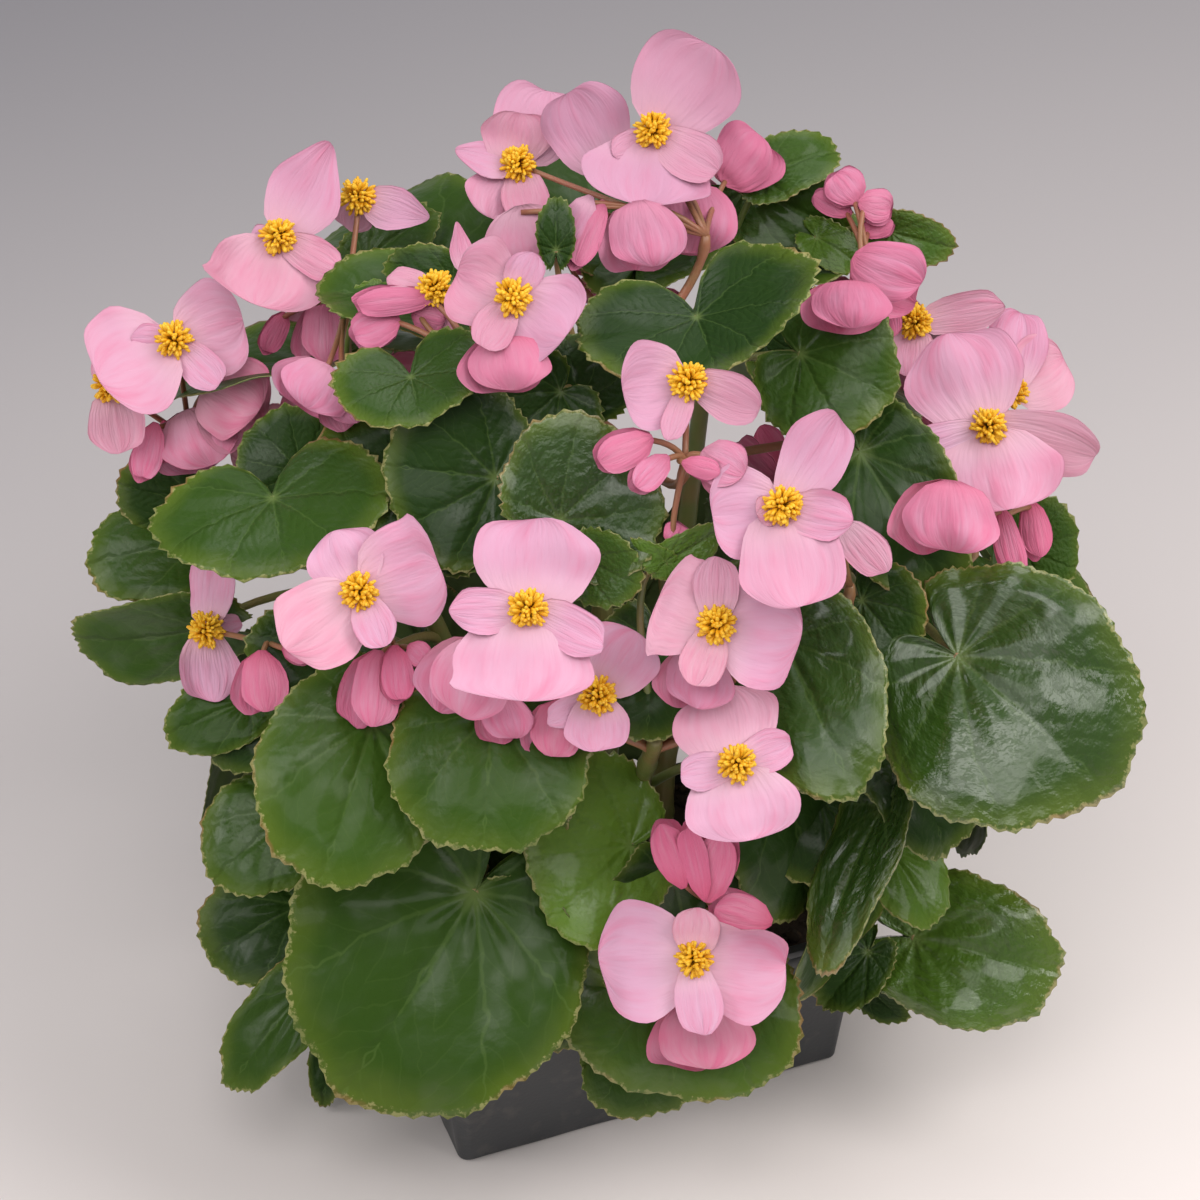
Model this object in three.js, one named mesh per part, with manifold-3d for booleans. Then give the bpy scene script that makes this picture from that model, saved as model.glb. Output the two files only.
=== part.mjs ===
// A wax begonia in full flower, standing in a small oblong nursery pot.
// Millimetres, +Z up. The origin is the middle of the pot's underside.
import * as THREE from "three";
import Module from "manifold-3d";
import { mergeVertices } from "three/addons/utils/BufferGeometryUtils.js";

const wasm = await Module();
wasm.setup();

// Pot and soil
const POT_LENGTH = 132;
const POT_WIDTH = 88;
const POT_HEIGHT = 57;
const POT_TAPER = 5.5; // degrees from upright
const POT_WALL = 1.1;
const POT_CORNER = 7;
const RIM_WIDTH = 2.2;
const RIM_HEIGHT = 3;
const DRAIN_RADIUS = 4;
const DRAIN_PLACES = [[-38, -20], [38, -20], [-38, 20], [38, 20]];
const SOIL_TOP = 53.5;
const SOIL_MOUND = 2;
const GAP = 0.3; // left between neighbouring pieces

// Plant
const CANOPY_CENTRE = 155; // height of the middle of the leafy dome
const CANOPY_RADIUS = 114;
const CANOPY_RISE = 131; // from that middle to the top of the dome
const TUCK = 55; // how far the low front of the dome draws in towards the pot
const TUCK_FROM = 500; // the step down at which that begins, full after as many more
const STEM_FOOT_RADIUS = 3.6;
const STEM_HEAD_RADIUS = 2.2;
const PETIOLE_RADIUS = 1.4;
const PEDUNCLE_RADIUS = 1.3;
const PEDICEL_RADIUS = 0.8;
const FORK_RADIUS = 2; // swelling where a cluster's stalk forks
const BLADE_THICKNESS = 0.9;
const TEPAL_THICKNESS = 0.8;
const STAMEN_RADIUS = 5.2;
const STALK_DROP = 18; // how far below a leaf or cluster its stalk leaves the stem, at least
const BLADE_SPOKES = 12;
const SEAT = 0.42; // how far a leaf's junction lies from the blade's middle, in half lengths
const SLIMMEST_TEPAL = 11.5; // slimmer tepals and buds are too small to count as solid
const SLIMMEST_BUD = 8.6;

// The side that the plant is drawn from. Spots on it are counted in steps across and down a square
// of 1200 by 1200 steps, seen from a long way off.
const SIGHT = {
  azimuth: -20.8,
  elevation: 40,
  distance: 1020,
  stepsPerUnit: 3696,
  middle: 600,
  target: new THREE.Vector3(-2, 1, 168),
};

// Stems: foot x, y on the soil, then head x, y, z
const STEMS = {
  stem_front_left: [-26, -14, -64, -44, 158],
  stem_back_left: [-22, 14, -62, 40, 205],
  stem_front: [-3, -18, -10, -62, 172],
  stem_middle: [2, 3, -2, 8, 235],
  stem_right: [24, -12, 62, -22, 178],
  stem_back_right: [22, 14, 50, 48, 222],
  stem_back: [-2, 22, -8, 76, 165],
};

// Open or hanging blooms, each cluster on one forked stalk. fork: x, y, inset.
// flowers: x, y, inset, then the tepals, each as tip x, tip y, width in mm, lean, roll.
// buds: foot x, foot y, tip x, tip y, width in mm, lean, roll, inset.
const CLUSTERS = [
  {
    name: "flowers_top",
    fork: [706, 235, 22],
    flowers: [
      [653, 132, -14, [
        [710, 47, 30, 12, 0], [640, 208, 35, 22, 0], [717, 173, 14, 20, 0], [613, 156, 9, 10, 0],
      ]],
      [518, 165, 0, [
        [550, 82, 25, -15, 0], [520, 112, 20, 5, 0], [455, 150, 13, 10, 30], [492, 220, 21, 15, 0],
        [530, 222, 13, 20, 0],
      ]],
    ],
    buds: [
      [612, 172, 568, 92, 24, 10, -10, -8],
      [722, 183, 768, 135, 19, -10, 0, 0],
      [684, 182, 677, 255, 30, 10, 0, -4],
      [640, 200, 648, 272, 22, -5, 0, 6],
      [592, 196, 566, 244, 9, 0, 0, 4],
      [604, 200, 573, 270, 8, 5, 0, 8],
      [520, 205, 530, 264, 25, 0, 0, 12],
    ],
  },
  {
    name: "flowers_upper_left",
    fork: [346, 300, 16],
    flowers: [
      [279, 237, -8, [
        [331, 142, 23, 0, 0], [258, 306, 32, 20, -12], [341, 273, 11, 15, 0], [252, 243, 9, 0, 0],
      ]],
      [359, 197, 10, [[431, 222, 12, 20, 0], [346, 228, 12, -40, 0]]],
    ],
    buds: [
      [326, 298, 320, 366, 15, 0, 0, 2],
      [285, 312, 264, 354, 7, 0, 0, 4],
      [330, 366, 298, 408, 21, 10, 0, 6],
      [340, 372, 352, 428, 14, -5, 0, 10],
    ],
  },
  {
    name: "flowers_left",
    fork: [190, 440, 20],
    flowers: [
      [175, 341, -8, [
        [243, 318, 27, 0, 0], [103, 382, 35, 15, 20], [222, 386, 11, 15, 0], [132, 339, 9, 0, 0],
      ]],
      [111, 387, 4, [[122, 454, 16, 10, -15], [95, 350, 8, -40, 0]]],
    ],
    buds: [
      [206, 382, 264, 420, 26, 10, 0, 1],
      [186, 410, 204, 471, 23, 5, 0, 8],
      [156, 422, 140, 482, 9, 0, 0, 6],
      [164, 420, 161, 468, 6, 0, 0, 12],
    ],
  },
  {
    name: "flowers_middle_left",
    fork: [478, 372, 22],
    flowers: [
      [513, 298, -6, [
        [455, 270, 24, 0, 0], [534, 253, 10, 0, 0], [566, 338, 28, 15, 0], [483, 349, 11, 20, 0],
      ]],
      [436, 289, 6, [[388, 277, 9, 0, 20], [448, 330, 9, -20, 0]]],
    ],
    buds: [
      [505, 335, 505, 394, 22, 5, 0, 2],
      [436, 296, 352, 304, 8, 0, 0, 6],
      [400, 318, 350, 336, 12, 0, 20, 8],
      [412, 312, 447, 322, 9, 0, 20, 10],
      [466, 275, 457, 222, 7, -10, 0, 6],
    ],
  },
  {
    name: "flowers_upper_right",
    fork: [872, 300, 14],
    flowers: [
      [914, 322, 4, [[1003, 305, 12, 0, 20], [905, 377, 14, 15, 0], [926, 372, 8, 10, 0]]],
    ],
    buds: [
      [858, 203, 833, 172, 12, 0, 0, 4],
      [858, 203, 894, 209, 10, 0, 0, 2],
      [852, 214, 813, 193, 7, -10, 0, 6],
      [862, 232, 894, 221, 7, 0, 0, 4],
      [850, 281, 845, 333, 22, 15, 0, -19],
      [854, 255, 920, 296, 18, 10, 0, -12],
      [888, 300, 894, 337, 6, 0, 0, 0],
    ],
  },
  {
    name: "flowers_right",
    fork: [975, 545, 20],
    flowers: [
      [988, 427, -18, [
        [950, 334, 33, 0, 0], [1097, 458, 18, 0, 25], [901, 462, 13, 10, 0], [1004, 510, 35, 25, 0],
      ]],
      [1010, 392, 8, [[1024, 308, 17, -10, 0], [1068, 356, 22, -10, 0]]],
    ],
    buds: [
      [950, 480, 940, 556, 26, -5, 0, -8],
      [1000, 505, 1018, 581, 8, 0, 0, 2],
      [1030, 500, 1040, 560, 9, 0, 0, 4],
    ],
  },
  {
    name: "flowers_centre",
    fork: [685, 462, 8],
    flowers: [
      [688, 382, -4, [[622, 392, 23, 15, 0], [757, 412, 13, 20, 20], [668, 440, 7, 25, 0]]],
    ],
    buds: [
      [652, 436, 596, 464, 10, 10, 0, 0],
      [668, 456, 633, 490, 8, 20, 0, 2],
      [702, 452, 740, 482, 13, 20, 0, 4],
      [682, 462, 722, 474, 6, 10, 0, 2],
      [670, 545, 682, 523, 7, 0, 0, 12],
    ],
  },
  {
    name: "flowers_centre_right",
    fork: [850, 585, 22],
    flowers: [
      [782, 506, -6, [
        [838, 416, 17, 5, 0], [711, 516, 24, 0, 0], [800, 605, 27, 20, 0], [850, 520, 13, 15, 0],
        [757, 514, 8, 15, 0],
      ]],
    ],
    buds: [[842, 520, 886, 572, 11, 0, 0, 8]],
  },
  {
    name: "flowers_middle",
    fork: [740, 700, 24],
    flowers: [
      [716, 625, -4, [
        [658, 600, 26, 5, 0], [716, 557, 12, 5, 0], [800, 632, 32, 5, 0], [695, 684, 12, 15, 0],
      ]],
      [737, 764, -17, [
        [722, 690, 28, -10, 0], [680, 775, 10, 10, 0], [792, 742, 11, 0, 0], [749, 837, 30, 15, 0],
      ]],
    ],
    buds: [[704, 648, 688, 710, 19, 0, 0, 6]],
  },
  {
    name: "flowers_front",
    fork: [560, 690, 26],
    flowers: [
      [528, 609, -10, [
        [538, 518, 32, 0, 0], [452, 610, 12, 10, 0], [523, 702, 35, 20, 0], [603, 645, 12, 12, 0],
      ]],
      [597, 695, 4, [[634, 632, 22, 20, 0], [597, 751, 17, 10, 0], [548, 722, 8, 0, 0]]],
    ],
    buds: [
      [482, 640, 448, 716, 20, -5, 0, 4],
      [500, 690, 508, 743, 14, -5, 0, 8],
      [560, 700, 546, 759, 14, -5, 0, 8],
    ],
  },
  {
    name: "flowers_front_left",
    fork: [400, 655, 22],
    flowers: [
      [360, 591, -6, [
        [334, 532, 20, 0, 0], [441, 566, 28, 0, 12], [288, 648, 24, 15, 0], [386, 647, 11, 20, 0],
      ]],
    ],
    buds: [
      [380, 650, 364, 729, 14, 0, 0, 8],
      [394, 645, 400, 704, 9, 0, 0, 4],
      [408, 645, 428, 662, 7, 0, 0, 6],
    ],
  },
  {
    name: "flowers_left_edge",
    fork: [272, 644, 18],
    flowers: [
      [207, 630, -2, [[212, 558, 15, -10, -25], [214, 700, 17, 5, -15], [240, 622, 6, -30, 0]]],
    ],
    buds: [
      [262, 650, 260, 715, 14, 0, 0, 6],
      [282, 648, 312, 658, 6, 0, 0, 8],
    ],
  },
  {
    name: "flowers_bottom",
    fork: [718, 900, 20],
    flowers: [
      [694, 958, -22, [
        [600, 960, 33, 0, 0], [788, 968, 32, -5, 0], [697, 908, 13, 5, 0], [703, 1032, 13, 15, 0],
      ]],
    ],
    buds: [
      [698, 1000, 700, 1072, 28, 0, 0, -16],
      [684, 888, 660, 819, 10, 15, 0, 0],
      [704, 900, 686, 820, 8, 15, 0, -4],
      [706, 902, 722, 830, 12, 15, 0, -2],
      [772, 922, 710, 904, 12, 15, 0, -8],
      [650, 1000, 655, 1050, 10, -5, 0, 2],
    ],
  },
];

// The clusters of the far side: azimuth, height, inset, turn of the whole spray in degrees
const FAR_CLUSTERS = {
  flowers_far_right: [108, 206, 0, 10],
  flowers_far_back: [156, 226, 0, -25],
  flowers_far_left: [208, 198, 0, 20],
  flowers_far_low: [128, 124, -20, 35],
};

// One plain spray, in mm across and down from the middle of its cluster
const FAR_SPRAY = {
  fork: [2, 6, 24],
  flowers: [
    [-9, -7, -4, [[-6, -32, 27, 0, 0], [-12, 17, 29, 20, 0], [-28, -5, 11, 10, 0], [9, -9, 11, 10, 0]]],
    [18, 8, 4, [[38, -4, 25, 0, 0], [6, 26, 24, 20, 0], [12, -10, 10, 5, 0], [30, 24, 10, 15, 0]]],
  ],
  buds: [[0, 14, -7, 33, 19, 5, 0, 5], [-8, 12, -24, 26, 13, 0, 0, 7], [10, -8, 16, -25, 13, 5, 0, 6]],
};

// Leaves in view: junction x, y, tip x, y, width in mm, inset, lean, roll, fold, and where given the seat
const LEAVES = {
  leaf_front_low_left: [474, 893, 345, 1092, 80, 8, 8, -8, 0.1],
  leaf_front_left: [372, 722, 322, 882, 51, 2, 14, -8, 0.08],
  leaf_front_middle: [492, 712, 484, 854, 51, 12, 12, 0, 0.06],
  leaf_front_right: [630, 845, 524, 856, 52, 31, 10, 0, 0.08],
  leaf_bottom: [684, 962, 672, 1101, 68, 14, 0, 0, 0.04],
  leaf_bottom_under: [640, 1036, 648, 1121, 36, 14, -10, 0, 0.05],
  leaf_right_large: [958, 657, 1104, 790, 67, -10, 15, 4, 0.14],
  leaf_right_low: [915, 938, 1056, 968, 44, 0, 18, 0, 0.14],
  leaf_right_middle: [785, 640, 850, 788, 42, 21, 24, 10, 0.12],
  leaf_right_folded: [885, 806, 824, 968, 26, 10, 8, 45, 0.3],
  leaf_top_middle: [697, 318, 716, 378, 63, 12, 35, 0, 0.2, 0.05],
  leaf_top_right: [801, 354, 888, 396, 42, 32, 12, 0, 0.1],
  leaf_upper_left: [411, 378, 424, 426, 40, 10, 35, 0, 0.2, 0.08],
  leaf_left_shoulder: [273, 499, 292, 576, 62, 4, 35, 0, 0.15, 0.25],
  leaf_left_low_edge: [196, 545, 88, 566, 30, 18, 10, 20, 0.1],
  leaf_left_tip: [206, 628, 66, 640, 28, 12, -10, -35, 0.1],
  leaf_centre_glossy: [560, 520, 640, 446, 44, 20, 8, 0, 0.15],
  leaf_centre_dark: [495, 478, 386, 466, 48, 34, 5, 0, 0.1],
  leaf_centre_left: [434, 556, 432, 492, 34, 26, -10, 0, 0.1],
  leaf_right_dark: [860, 452, 944, 596, 38, 40, 5, 0, 0.15],
  leaf_crown_right: [764, 178, 838, 148, 20, 12, -10, -25, 0.2],
  leaf_crown_left: [366, 262, 438, 212, 21, 24, 0, -20, 0.2],
  leaf_left_flank: [292, 812, 215, 880, 34, 14, 5, 12, 0.1],
  leaf_left_foot: [310, 985, 228, 1090, 24, -24, -5, 20, 0.1],
  leaf_left_nook: [250, 700, 166, 736, 22, 16, 0, 10, 0.1],
};

// Leaves of the far side: azimuth, height, inset, aim from straight down, length, width, lean, roll, fold
const FAR_LEAVES = {
  leaf_far_low_1: [80, 112, 4, 12, 58, 60, 18, 0, 0.12],
  leaf_far_low_2: [108, 104, 2, -14, 66, 66, 18, 6, 0.1],
  leaf_far_low_3: [150, 108, 4, 10, 68, 68, 20, -6, 0.12],
  leaf_far_low_4: [192, 104, 2, -10, 64, 66, 18, 4, 0.1],
  leaf_far_low_5: [232, 110, 4, 14, 60, 60, 18, 0, 0.12],
  leaf_far_high_1: [74, 172, 6, -10, 54, 58, 34, 5, 0.18],
  leaf_far_high_2: [104, 178, 12, 12, 62, 66, 36, -5, 0.16],
  leaf_far_high_3: [140, 182, 6, -8, 64, 66, 34, 6, 0.18],
  leaf_far_high_4: [180, 188, 6, 10, 62, 66, 36, 0, 0.16],
};

const radians = THREE.MathUtils.degToRad;
const sightRight = new THREE.Vector3(
  Math.cos(radians(SIGHT.azimuth)), Math.sin(radians(SIGHT.azimuth)), 0,
);
const sightOut = new THREE.Vector3(
  Math.sin(radians(SIGHT.azimuth)) * Math.cos(radians(SIGHT.elevation)),
  -Math.cos(radians(SIGHT.azimuth)) * Math.cos(radians(SIGHT.elevation)),
  Math.sin(radians(SIGHT.elevation)),
);
const sightUp = sightOut.clone().cross(sightRight);
const eye = SIGHT.target.clone().addScaledVector(sightOut, SIGHT.distance);

// A sum of scaled vectors, from pairs of vector and factor.
function sum(...terms) {
  const total = new THREE.Vector3();
  for (const [vector, factor] of terms) total.addScaledVector(vector, factor);
  return total;
}

// The spot that shows at a step across and down, on the leafy dome or this far inside it.
function seen(across, down, inset) {
  const ray = sum(
    [sightOut, -SIGHT.stepsPerUnit],
    [sightRight, across - SIGHT.middle],
    [sightUp, SIGHT.middle - down],
  ).normalize();
  const squash = new THREE.Vector3(1 / CANOPY_RADIUS, 1 / CANOPY_RADIUS, 1 / CANOPY_RISE);
  const from = eye.clone().setZ(eye.z - CANOPY_CENTRE).multiply(squash);
  const along = ray.clone().multiply(squash);
  const a = along.dot(along);
  const b = from.dot(along);
  const c = from.dot(from) - 1;
  const tuck = TUCK * Math.max(down / TUCK_FROM - 1, 0);
  const reach = (-b - Math.sqrt(Math.max(b * b - a * c, 0))) / a + inset + tuck;
  const depth = -reach * ray.dot(sightOut);
  return {
    point: eye.clone().addScaledVector(ray, reach),
    right: sightRight,
    up: sightUp,
    out: sightOut,
    scale: depth / SIGHT.stepsPerUnit,
  };
}

// A spot on the dome by azimuth and height, with its own directions. Its neighbours lie flat beside it.
function around(azimuth, height) {
  const turn = radians(azimuth);
  const level = (height - CANOPY_CENTRE) / CANOPY_RISE;
  const radius = CANOPY_RADIUS * Math.sqrt(1 - level * level);
  const middle = new THREE.Vector3(Math.sin(turn) * radius, -Math.cos(turn) * radius, height);
  const right = new THREE.Vector3(Math.cos(turn), Math.sin(turn), 0);
  const out = new THREE.Vector3(
    middle.x / CANOPY_RADIUS ** 2, middle.y / CANOPY_RADIUS ** 2, level / CANOPY_RISE,
  ).normalize();
  const up = out.clone().cross(right);
  return (across, down, inset) => ({
    point: sum([middle, 1], [right, across], [up, -down], [out, -inset]),
    right,
    up,
    out,
    scale: 1,
  });
}

// Directions of a blade or tepal whose tip lies dx, dy from its foot as seen at the spot.
function aimed(spot, dx, dy, lean, roll) {
  const flat = sum([spot.right, dx], [spot.up, -dy]);
  const length = (flat.length() * spot.scale) / Math.cos(radians(lean));
  const along = sum(
    [flat.normalize(), Math.cos(radians(lean))],
    [spot.out, Math.sin(radians(lean))],
  );
  const side = spot.out.clone().cross(along).normalize().applyAxisAngle(along, radians(roll));
  return { along, side, face: along.clone().cross(side), length };
}

// A closed geometry from triangles given as triples of points. Triangles with no area are left out.
function closed(triangles) {
  const points = triangles
    .filter(([a, b, c]) => !a.equals(b) && !b.equals(c) && !c.equals(a))
    .flat();
  return new THREE.BufferGeometry().setFromPoints(points);
}

// The skin between one loop of points and the next one up, facing out when loops run counter-clockwise.
function band(lower, upper) {
  return lower.flatMap((point, i) => {
    const j = (i + 1) % lower.length;
    return [[point, lower[j], upper[j]], [point, upper[j], upper[i]]];
  });
}

// A closed body through loops of equal count, with its two ends shut by a fan.
function lofted(loops, foot, head) {
  const walls = loops.slice(1).flatMap((loop, i) => band(loops[i], loop));
  const footLoop = loops[0].map(() => foot);
  const headLoop = loops[0].map(() => head);
  return closed([...band(footLoop, loops[0]), ...walls, ...band(loops.at(-1), headLoop)]);
}

function toSolid(geometry) {
  const plain = geometry.clone();
  plain.deleteAttribute("normal");
  plain.deleteAttribute("uv");
  const merged = mergeVertices(plain, 1e-4);
  return new wasm.Manifold(new wasm.Mesh({
    numProp: 3,
    vertProperties: merged.attributes.position.array,
    triVerts: new Uint32Array(merged.index.array),
  }));
}

function toGeometry(solid) {
  const mesh = solid.getMesh();
  const geometry = new THREE.BufferGeometry();
  geometry.setAttribute("position", new THREE.BufferAttribute(mesh.vertProperties, 3));
  geometry.setIndex(new THREE.BufferAttribute(mesh.triVerts, 1));
  return geometry;
}

// A round stalk along a curve.
function stalk(curve, footRadius, headRadius, steps, sides) {
  const frames = curve.computeFrenetFrames(steps, false);
  const loops = [];
  for (let i = 0; i <= steps; i++) {
    const middle = curve.getPointAt(i / steps);
    const radius = THREE.MathUtils.lerp(footRadius, headRadius, i / steps);
    loops.push(Array.from({ length: sides }, (_, k) => {
      const angle = (2 * Math.PI * k) / sides;
      return sum(
        [middle, 1],
        [frames.normals[i], radius * Math.cos(angle)],
        [frames.binormals[i], radius * Math.sin(angle)],
      );
    }));
  }
  return toSolid(lofted(loops, curve.getPointAt(0), curve.getPointAt(1)));
}

// The half width of a round tepal at a share of its length, as a share of its whole width.
function tepalHalfWidth(share) {
  return 0.66 * share ** 0.38 * Math.sqrt(1 - share ** 3.5);
}

// A thin curved tepal from its foot to its tip.
function tepal(foot, aim, width, extra) {
  const shares = width < 20 ? [0, 0.6, 1] : [0, 0.3, 0.72, 1];
  const sides = [-1, 1];
  const half = TEPAL_THICKNESS / 2 + extra;
  const loops = shares.map((share) => {
    const reach = Math.max(share === 1 ? 0.24 : tepalHalfWidth(share), 0.1) * width + extra;
    const along = share * aim.length + (share === 1 ? extra : 0) - (share === 0 ? extra : 0);
    const spots = sides.map((side) => {
      const cup = 0.2 * aim.length * share * (share - 1);
      return sum([foot, 1], [aim.along, along], [aim.side, side * reach], [aim.face, cup]);
    });
    const front = spots.map((spot) => spot.clone().addScaledVector(aim.face, half));
    const back = spots.map((spot) => spot.clone().addScaledVector(aim.face, -half));
    return [...front, ...back.reverse()];
  });
  const ends = [loops[0], loops.at(-1)].map((loop) =>
    sum(...loop.map((point) => [point, 1 / loop.length])));
  return toSolid(lofted(loops.map((loop) => loop.reverse()), ends[0], ends[1]));
}

// Distance from the petiole's junction to the leaf's edge, for a leaf of unit length and width:
// a round blade whose junction lies towards its base, with a notch there.
function leafEdge(angle, seat) {
  const circle = seat * Math.cos(angle) + Math.sqrt(1 - (seat * Math.sin(angle)) ** 2);
  const fromBase = Math.PI - Math.abs(angle);
  const notch = 1 - 0.86 * Math.exp(-((fromBase / 0.3) ** 2));
  return (circle * notch) / (1 + seat);
}

// Height of the blade above the plane through its junction and tip, x and y in leaf lengths.
function bladeRise(x, y, fold) {
  const arch = 0.28 * Math.max(x, 0) * (1 - x);
  const lobes = 0.25 * Math.min(x, 0) ** 2;
  return fold * Math.abs(y) ** 1.3 + arch + lobes;
}

// A leaf's blade as a thin curved plate.
function blade(junction, aim, width, fold, seat, extra) {
  const half = BLADE_THICKNESS / 2 + extra;
  const wide = (width * (1 + seat)) / (2 * aim.length);
  const loop = (share, lift) => Array.from({ length: BLADE_SPOKES }, (_, k) => {
    const angle = (2 * Math.PI * (k + 0.5)) / BLADE_SPOKES;
    const reach = leafEdge(angle, seat) * share + (share === 1 ? extra / aim.length : 0);
    const x = reach * Math.cos(angle);
    const y = reach * Math.sin(angle) * wide;
    const rise = bladeRise(x, y, fold) * aim.length + lift;
    return sum([junction, 1], [aim.along, x * aim.length], [aim.side, y * aim.length], [aim.face, rise]);
  });
  const loops = [loop(0.55, -half), loop(1, -half), loop(1, half), loop(0.55, half)];
  const under = sum([junction, 1], [aim.face, -half]);
  const over = sum([junction, 1], [aim.face, half]);
  return toSolid(lofted(loops, under, over));
}

// A ball or dome of stamens.
function dome(middle, facing, radius) {
  const ball = new THREE.OctahedronGeometry(radius * 1.15, 0);
  ball.scale(1, 1, 0.8);
  const turn = new THREE.Quaternion().setFromUnitVectors(new THREE.Vector3(0, 0, 1), facing);
  ball.applyQuaternion(turn);
  ball.translate(middle.x, middle.y, middle.z);
  return toSolid(ball);
}

const stemCurves = Object.fromEntries(Object.entries(STEMS).map(([name, [fx, fy, hx, hy, hz]]) => {
  const foot = new THREE.Vector3(fx, fy, SOIL_TOP + SOIL_MOUND + GAP);
  const head = new THREE.Vector3(hx, hy, hz);
  const bend = foot.clone().lerp(head, 0.25).setZ(foot.z + (hz - foot.z) * 0.55);
  return [name, new THREE.QuadraticBezierCurve3(foot, bend, head)];
}));

// The best place on a stem for a stalk to leave it: near the piece, and some way below it.
function attachment(point) {
  let best = { cost: Infinity };
  for (const curve of Object.values(stemCurves)) {
    for (let share = 0.2; share <= 0.97; share += 0.07) {
      const place = curve.getPoint(share);
      const missing = Math.max(STALK_DROP - (point.z - place.z), 0);
      const cost = place.distanceTo(point) + 1.2 * missing;
      if (cost < best.cost) best = { cost, place, upward: curve.getTangent(share) };
    }
  }
  return best;
}

// A curve that leaves a stem upwards and comes to a point from a given side.
function stalkCurve(point, arrival) {
  const { place, upward } = attachment(point);
  const reach = place.distanceTo(point);
  return new THREE.CubicBezierCurve3(
    place,
    sum([place, 1], [upward, 0.3 * reach]),
    sum([point, 1], [arrival, -0.35 * reach]),
    point,
  );
}

function joined(solids) {
  return wasm.Manifold.union(solids);
}

function leafSolid(spot, dx, dy, row, extra) {
  const [width, lean, roll, fold, seat = SEAT] = row;
  const aim = aimed(spot, dx, dy, lean, roll);
  const arrival = sum([aim.face, 0.8], [aim.along, 0.5]).normalize();
  const radius = PETIOLE_RADIUS + extra;
  return joined([
    blade(spot.point, aim, width, fold, seat, extra),
    stalk(stalkCurve(spot.point, arrival), radius, radius, 4, 4),
  ]);
}

function flowerParts(spot, x, y, tepals, fork, extra) {
  const facing = spot.out;
  const hub = spot.point;
  const parts = tepals.filter((row) => row[2] >= SLIMMEST_TEPAL).map(([tipX, tipY, width, lean, roll]) =>
    tepal(hub, aimed(spot, tipX - x, tipY - y, lean, roll), width, extra));
  parts.push(dome(sum([hub, 1], [facing, 2.2]), facing, STAMEN_RADIUS + extra));
  const pedicel = new THREE.QuadraticBezierCurve3(
    fork, sum([hub, 0.6], [fork, 0.4], [facing, -6]), sum([hub, 1], [facing, 0.5]),
  );
  parts.push(stalk(pedicel, PEDICEL_RADIUS + extra, PEDICEL_RADIUS + extra, 2, 3));
  return parts;
}

function budParts(spot, row, fork, extra) {
  const [x, y, tipX, tipY, width, lean, roll] = row;
  const foot = spot.point;
  const aim = aimed(spot, tipX - x, tipY - y, lean, roll);
  const pedicel = new THREE.QuadraticBezierCurve3(
    fork, sum([foot, 0.6], [fork, 0.4], [aim.along, -3]), sum([foot, 1], [aim.along, 2]),
  );
  return [
    tepal(foot, aim, width, extra),
    stalk(pedicel, PEDICEL_RADIUS + extra, PEDICEL_RADIUS + extra, 2, 3),
  ];
}

function clusterSolid(cluster, place, extra) {
  const fork = place(...cluster.fork).point;
  const upright = new THREE.Vector3(0, 0, 1);
  const radius = PEDUNCLE_RADIUS + extra;
  const parts = [
    dome(fork, upright, FORK_RADIUS + extra),
    stalk(stalkCurve(fork, upright), radius, radius, 4, 4),
  ];
  for (const [x, y, inset, tepals] of cluster.flowers) {
    parts.push(...flowerParts(place(x, y, inset), x, y, tepals, fork, extra));
  }
  for (const row of cluster.buds.filter((bud) => bud[4] >= SLIMMEST_BUD)) {
    parts.push(...budParts(place(row[0], row[1], row[7]), row, fork, extra));
  }
  return joined(parts);
}

// The far side's spray, turned in its own plane and set this much deeper.
function farSpray(angle, deeper) {
  const turned = (x, y) => [
    x * Math.cos(angle) - y * Math.sin(angle),
    x * Math.sin(angle) + y * Math.cos(angle),
  ];
  const [forkX, forkY, forkInset] = FAR_SPRAY.fork;
  return {
    fork: [...turned(forkX, forkY), forkInset + deeper],
    flowers: FAR_SPRAY.flowers.map(([x, y, inset, tepals]) => [
      ...turned(x, y), inset + deeper,
      tepals.map(([tipX, tipY, ...rest]) => [...turned(tipX, tipY), ...rest]),
    ]),
    buds: FAR_SPRAY.buds.map(([x, y, tipX, tipY, width, lean, roll, inset]) => [
      ...turned(x, y), ...turned(tipX, tipY), width, lean, roll, inset + deeper,
    ]),
  };
}

// A rounded rectangle at one height, counter-clockwise from above.
function roundedLoop(halfLength, halfWidth, corner, height) {
  const steps = 3;
  const corners = [[1, 1], [-1, 1], [-1, -1], [1, -1]];
  return corners.flatMap(([sx, sy], quarter) => Array.from({ length: steps + 1 }, (_, i) => {
    const angle = (Math.PI / 2) * (quarter + i / steps);
    return new THREE.Vector3(
      sx * (halfLength - corner) + corner * Math.cos(angle),
      sy * (halfWidth - corner) + corner * Math.sin(angle),
      height,
    );
  }));
}

// One loop of the tapered pot, this far outside (or inside, if negative) its outer wall.
function potLoop(height, offset) {
  const slope = (POT_HEIGHT - height) * Math.tan(radians(POT_TAPER));
  return roundedLoop(
    POT_LENGTH / 2 - slope + offset,
    POT_WIDTH / 2 - slope + offset,
    POT_CORNER - slope / 2 + offset,
    height,
  );
}

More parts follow.
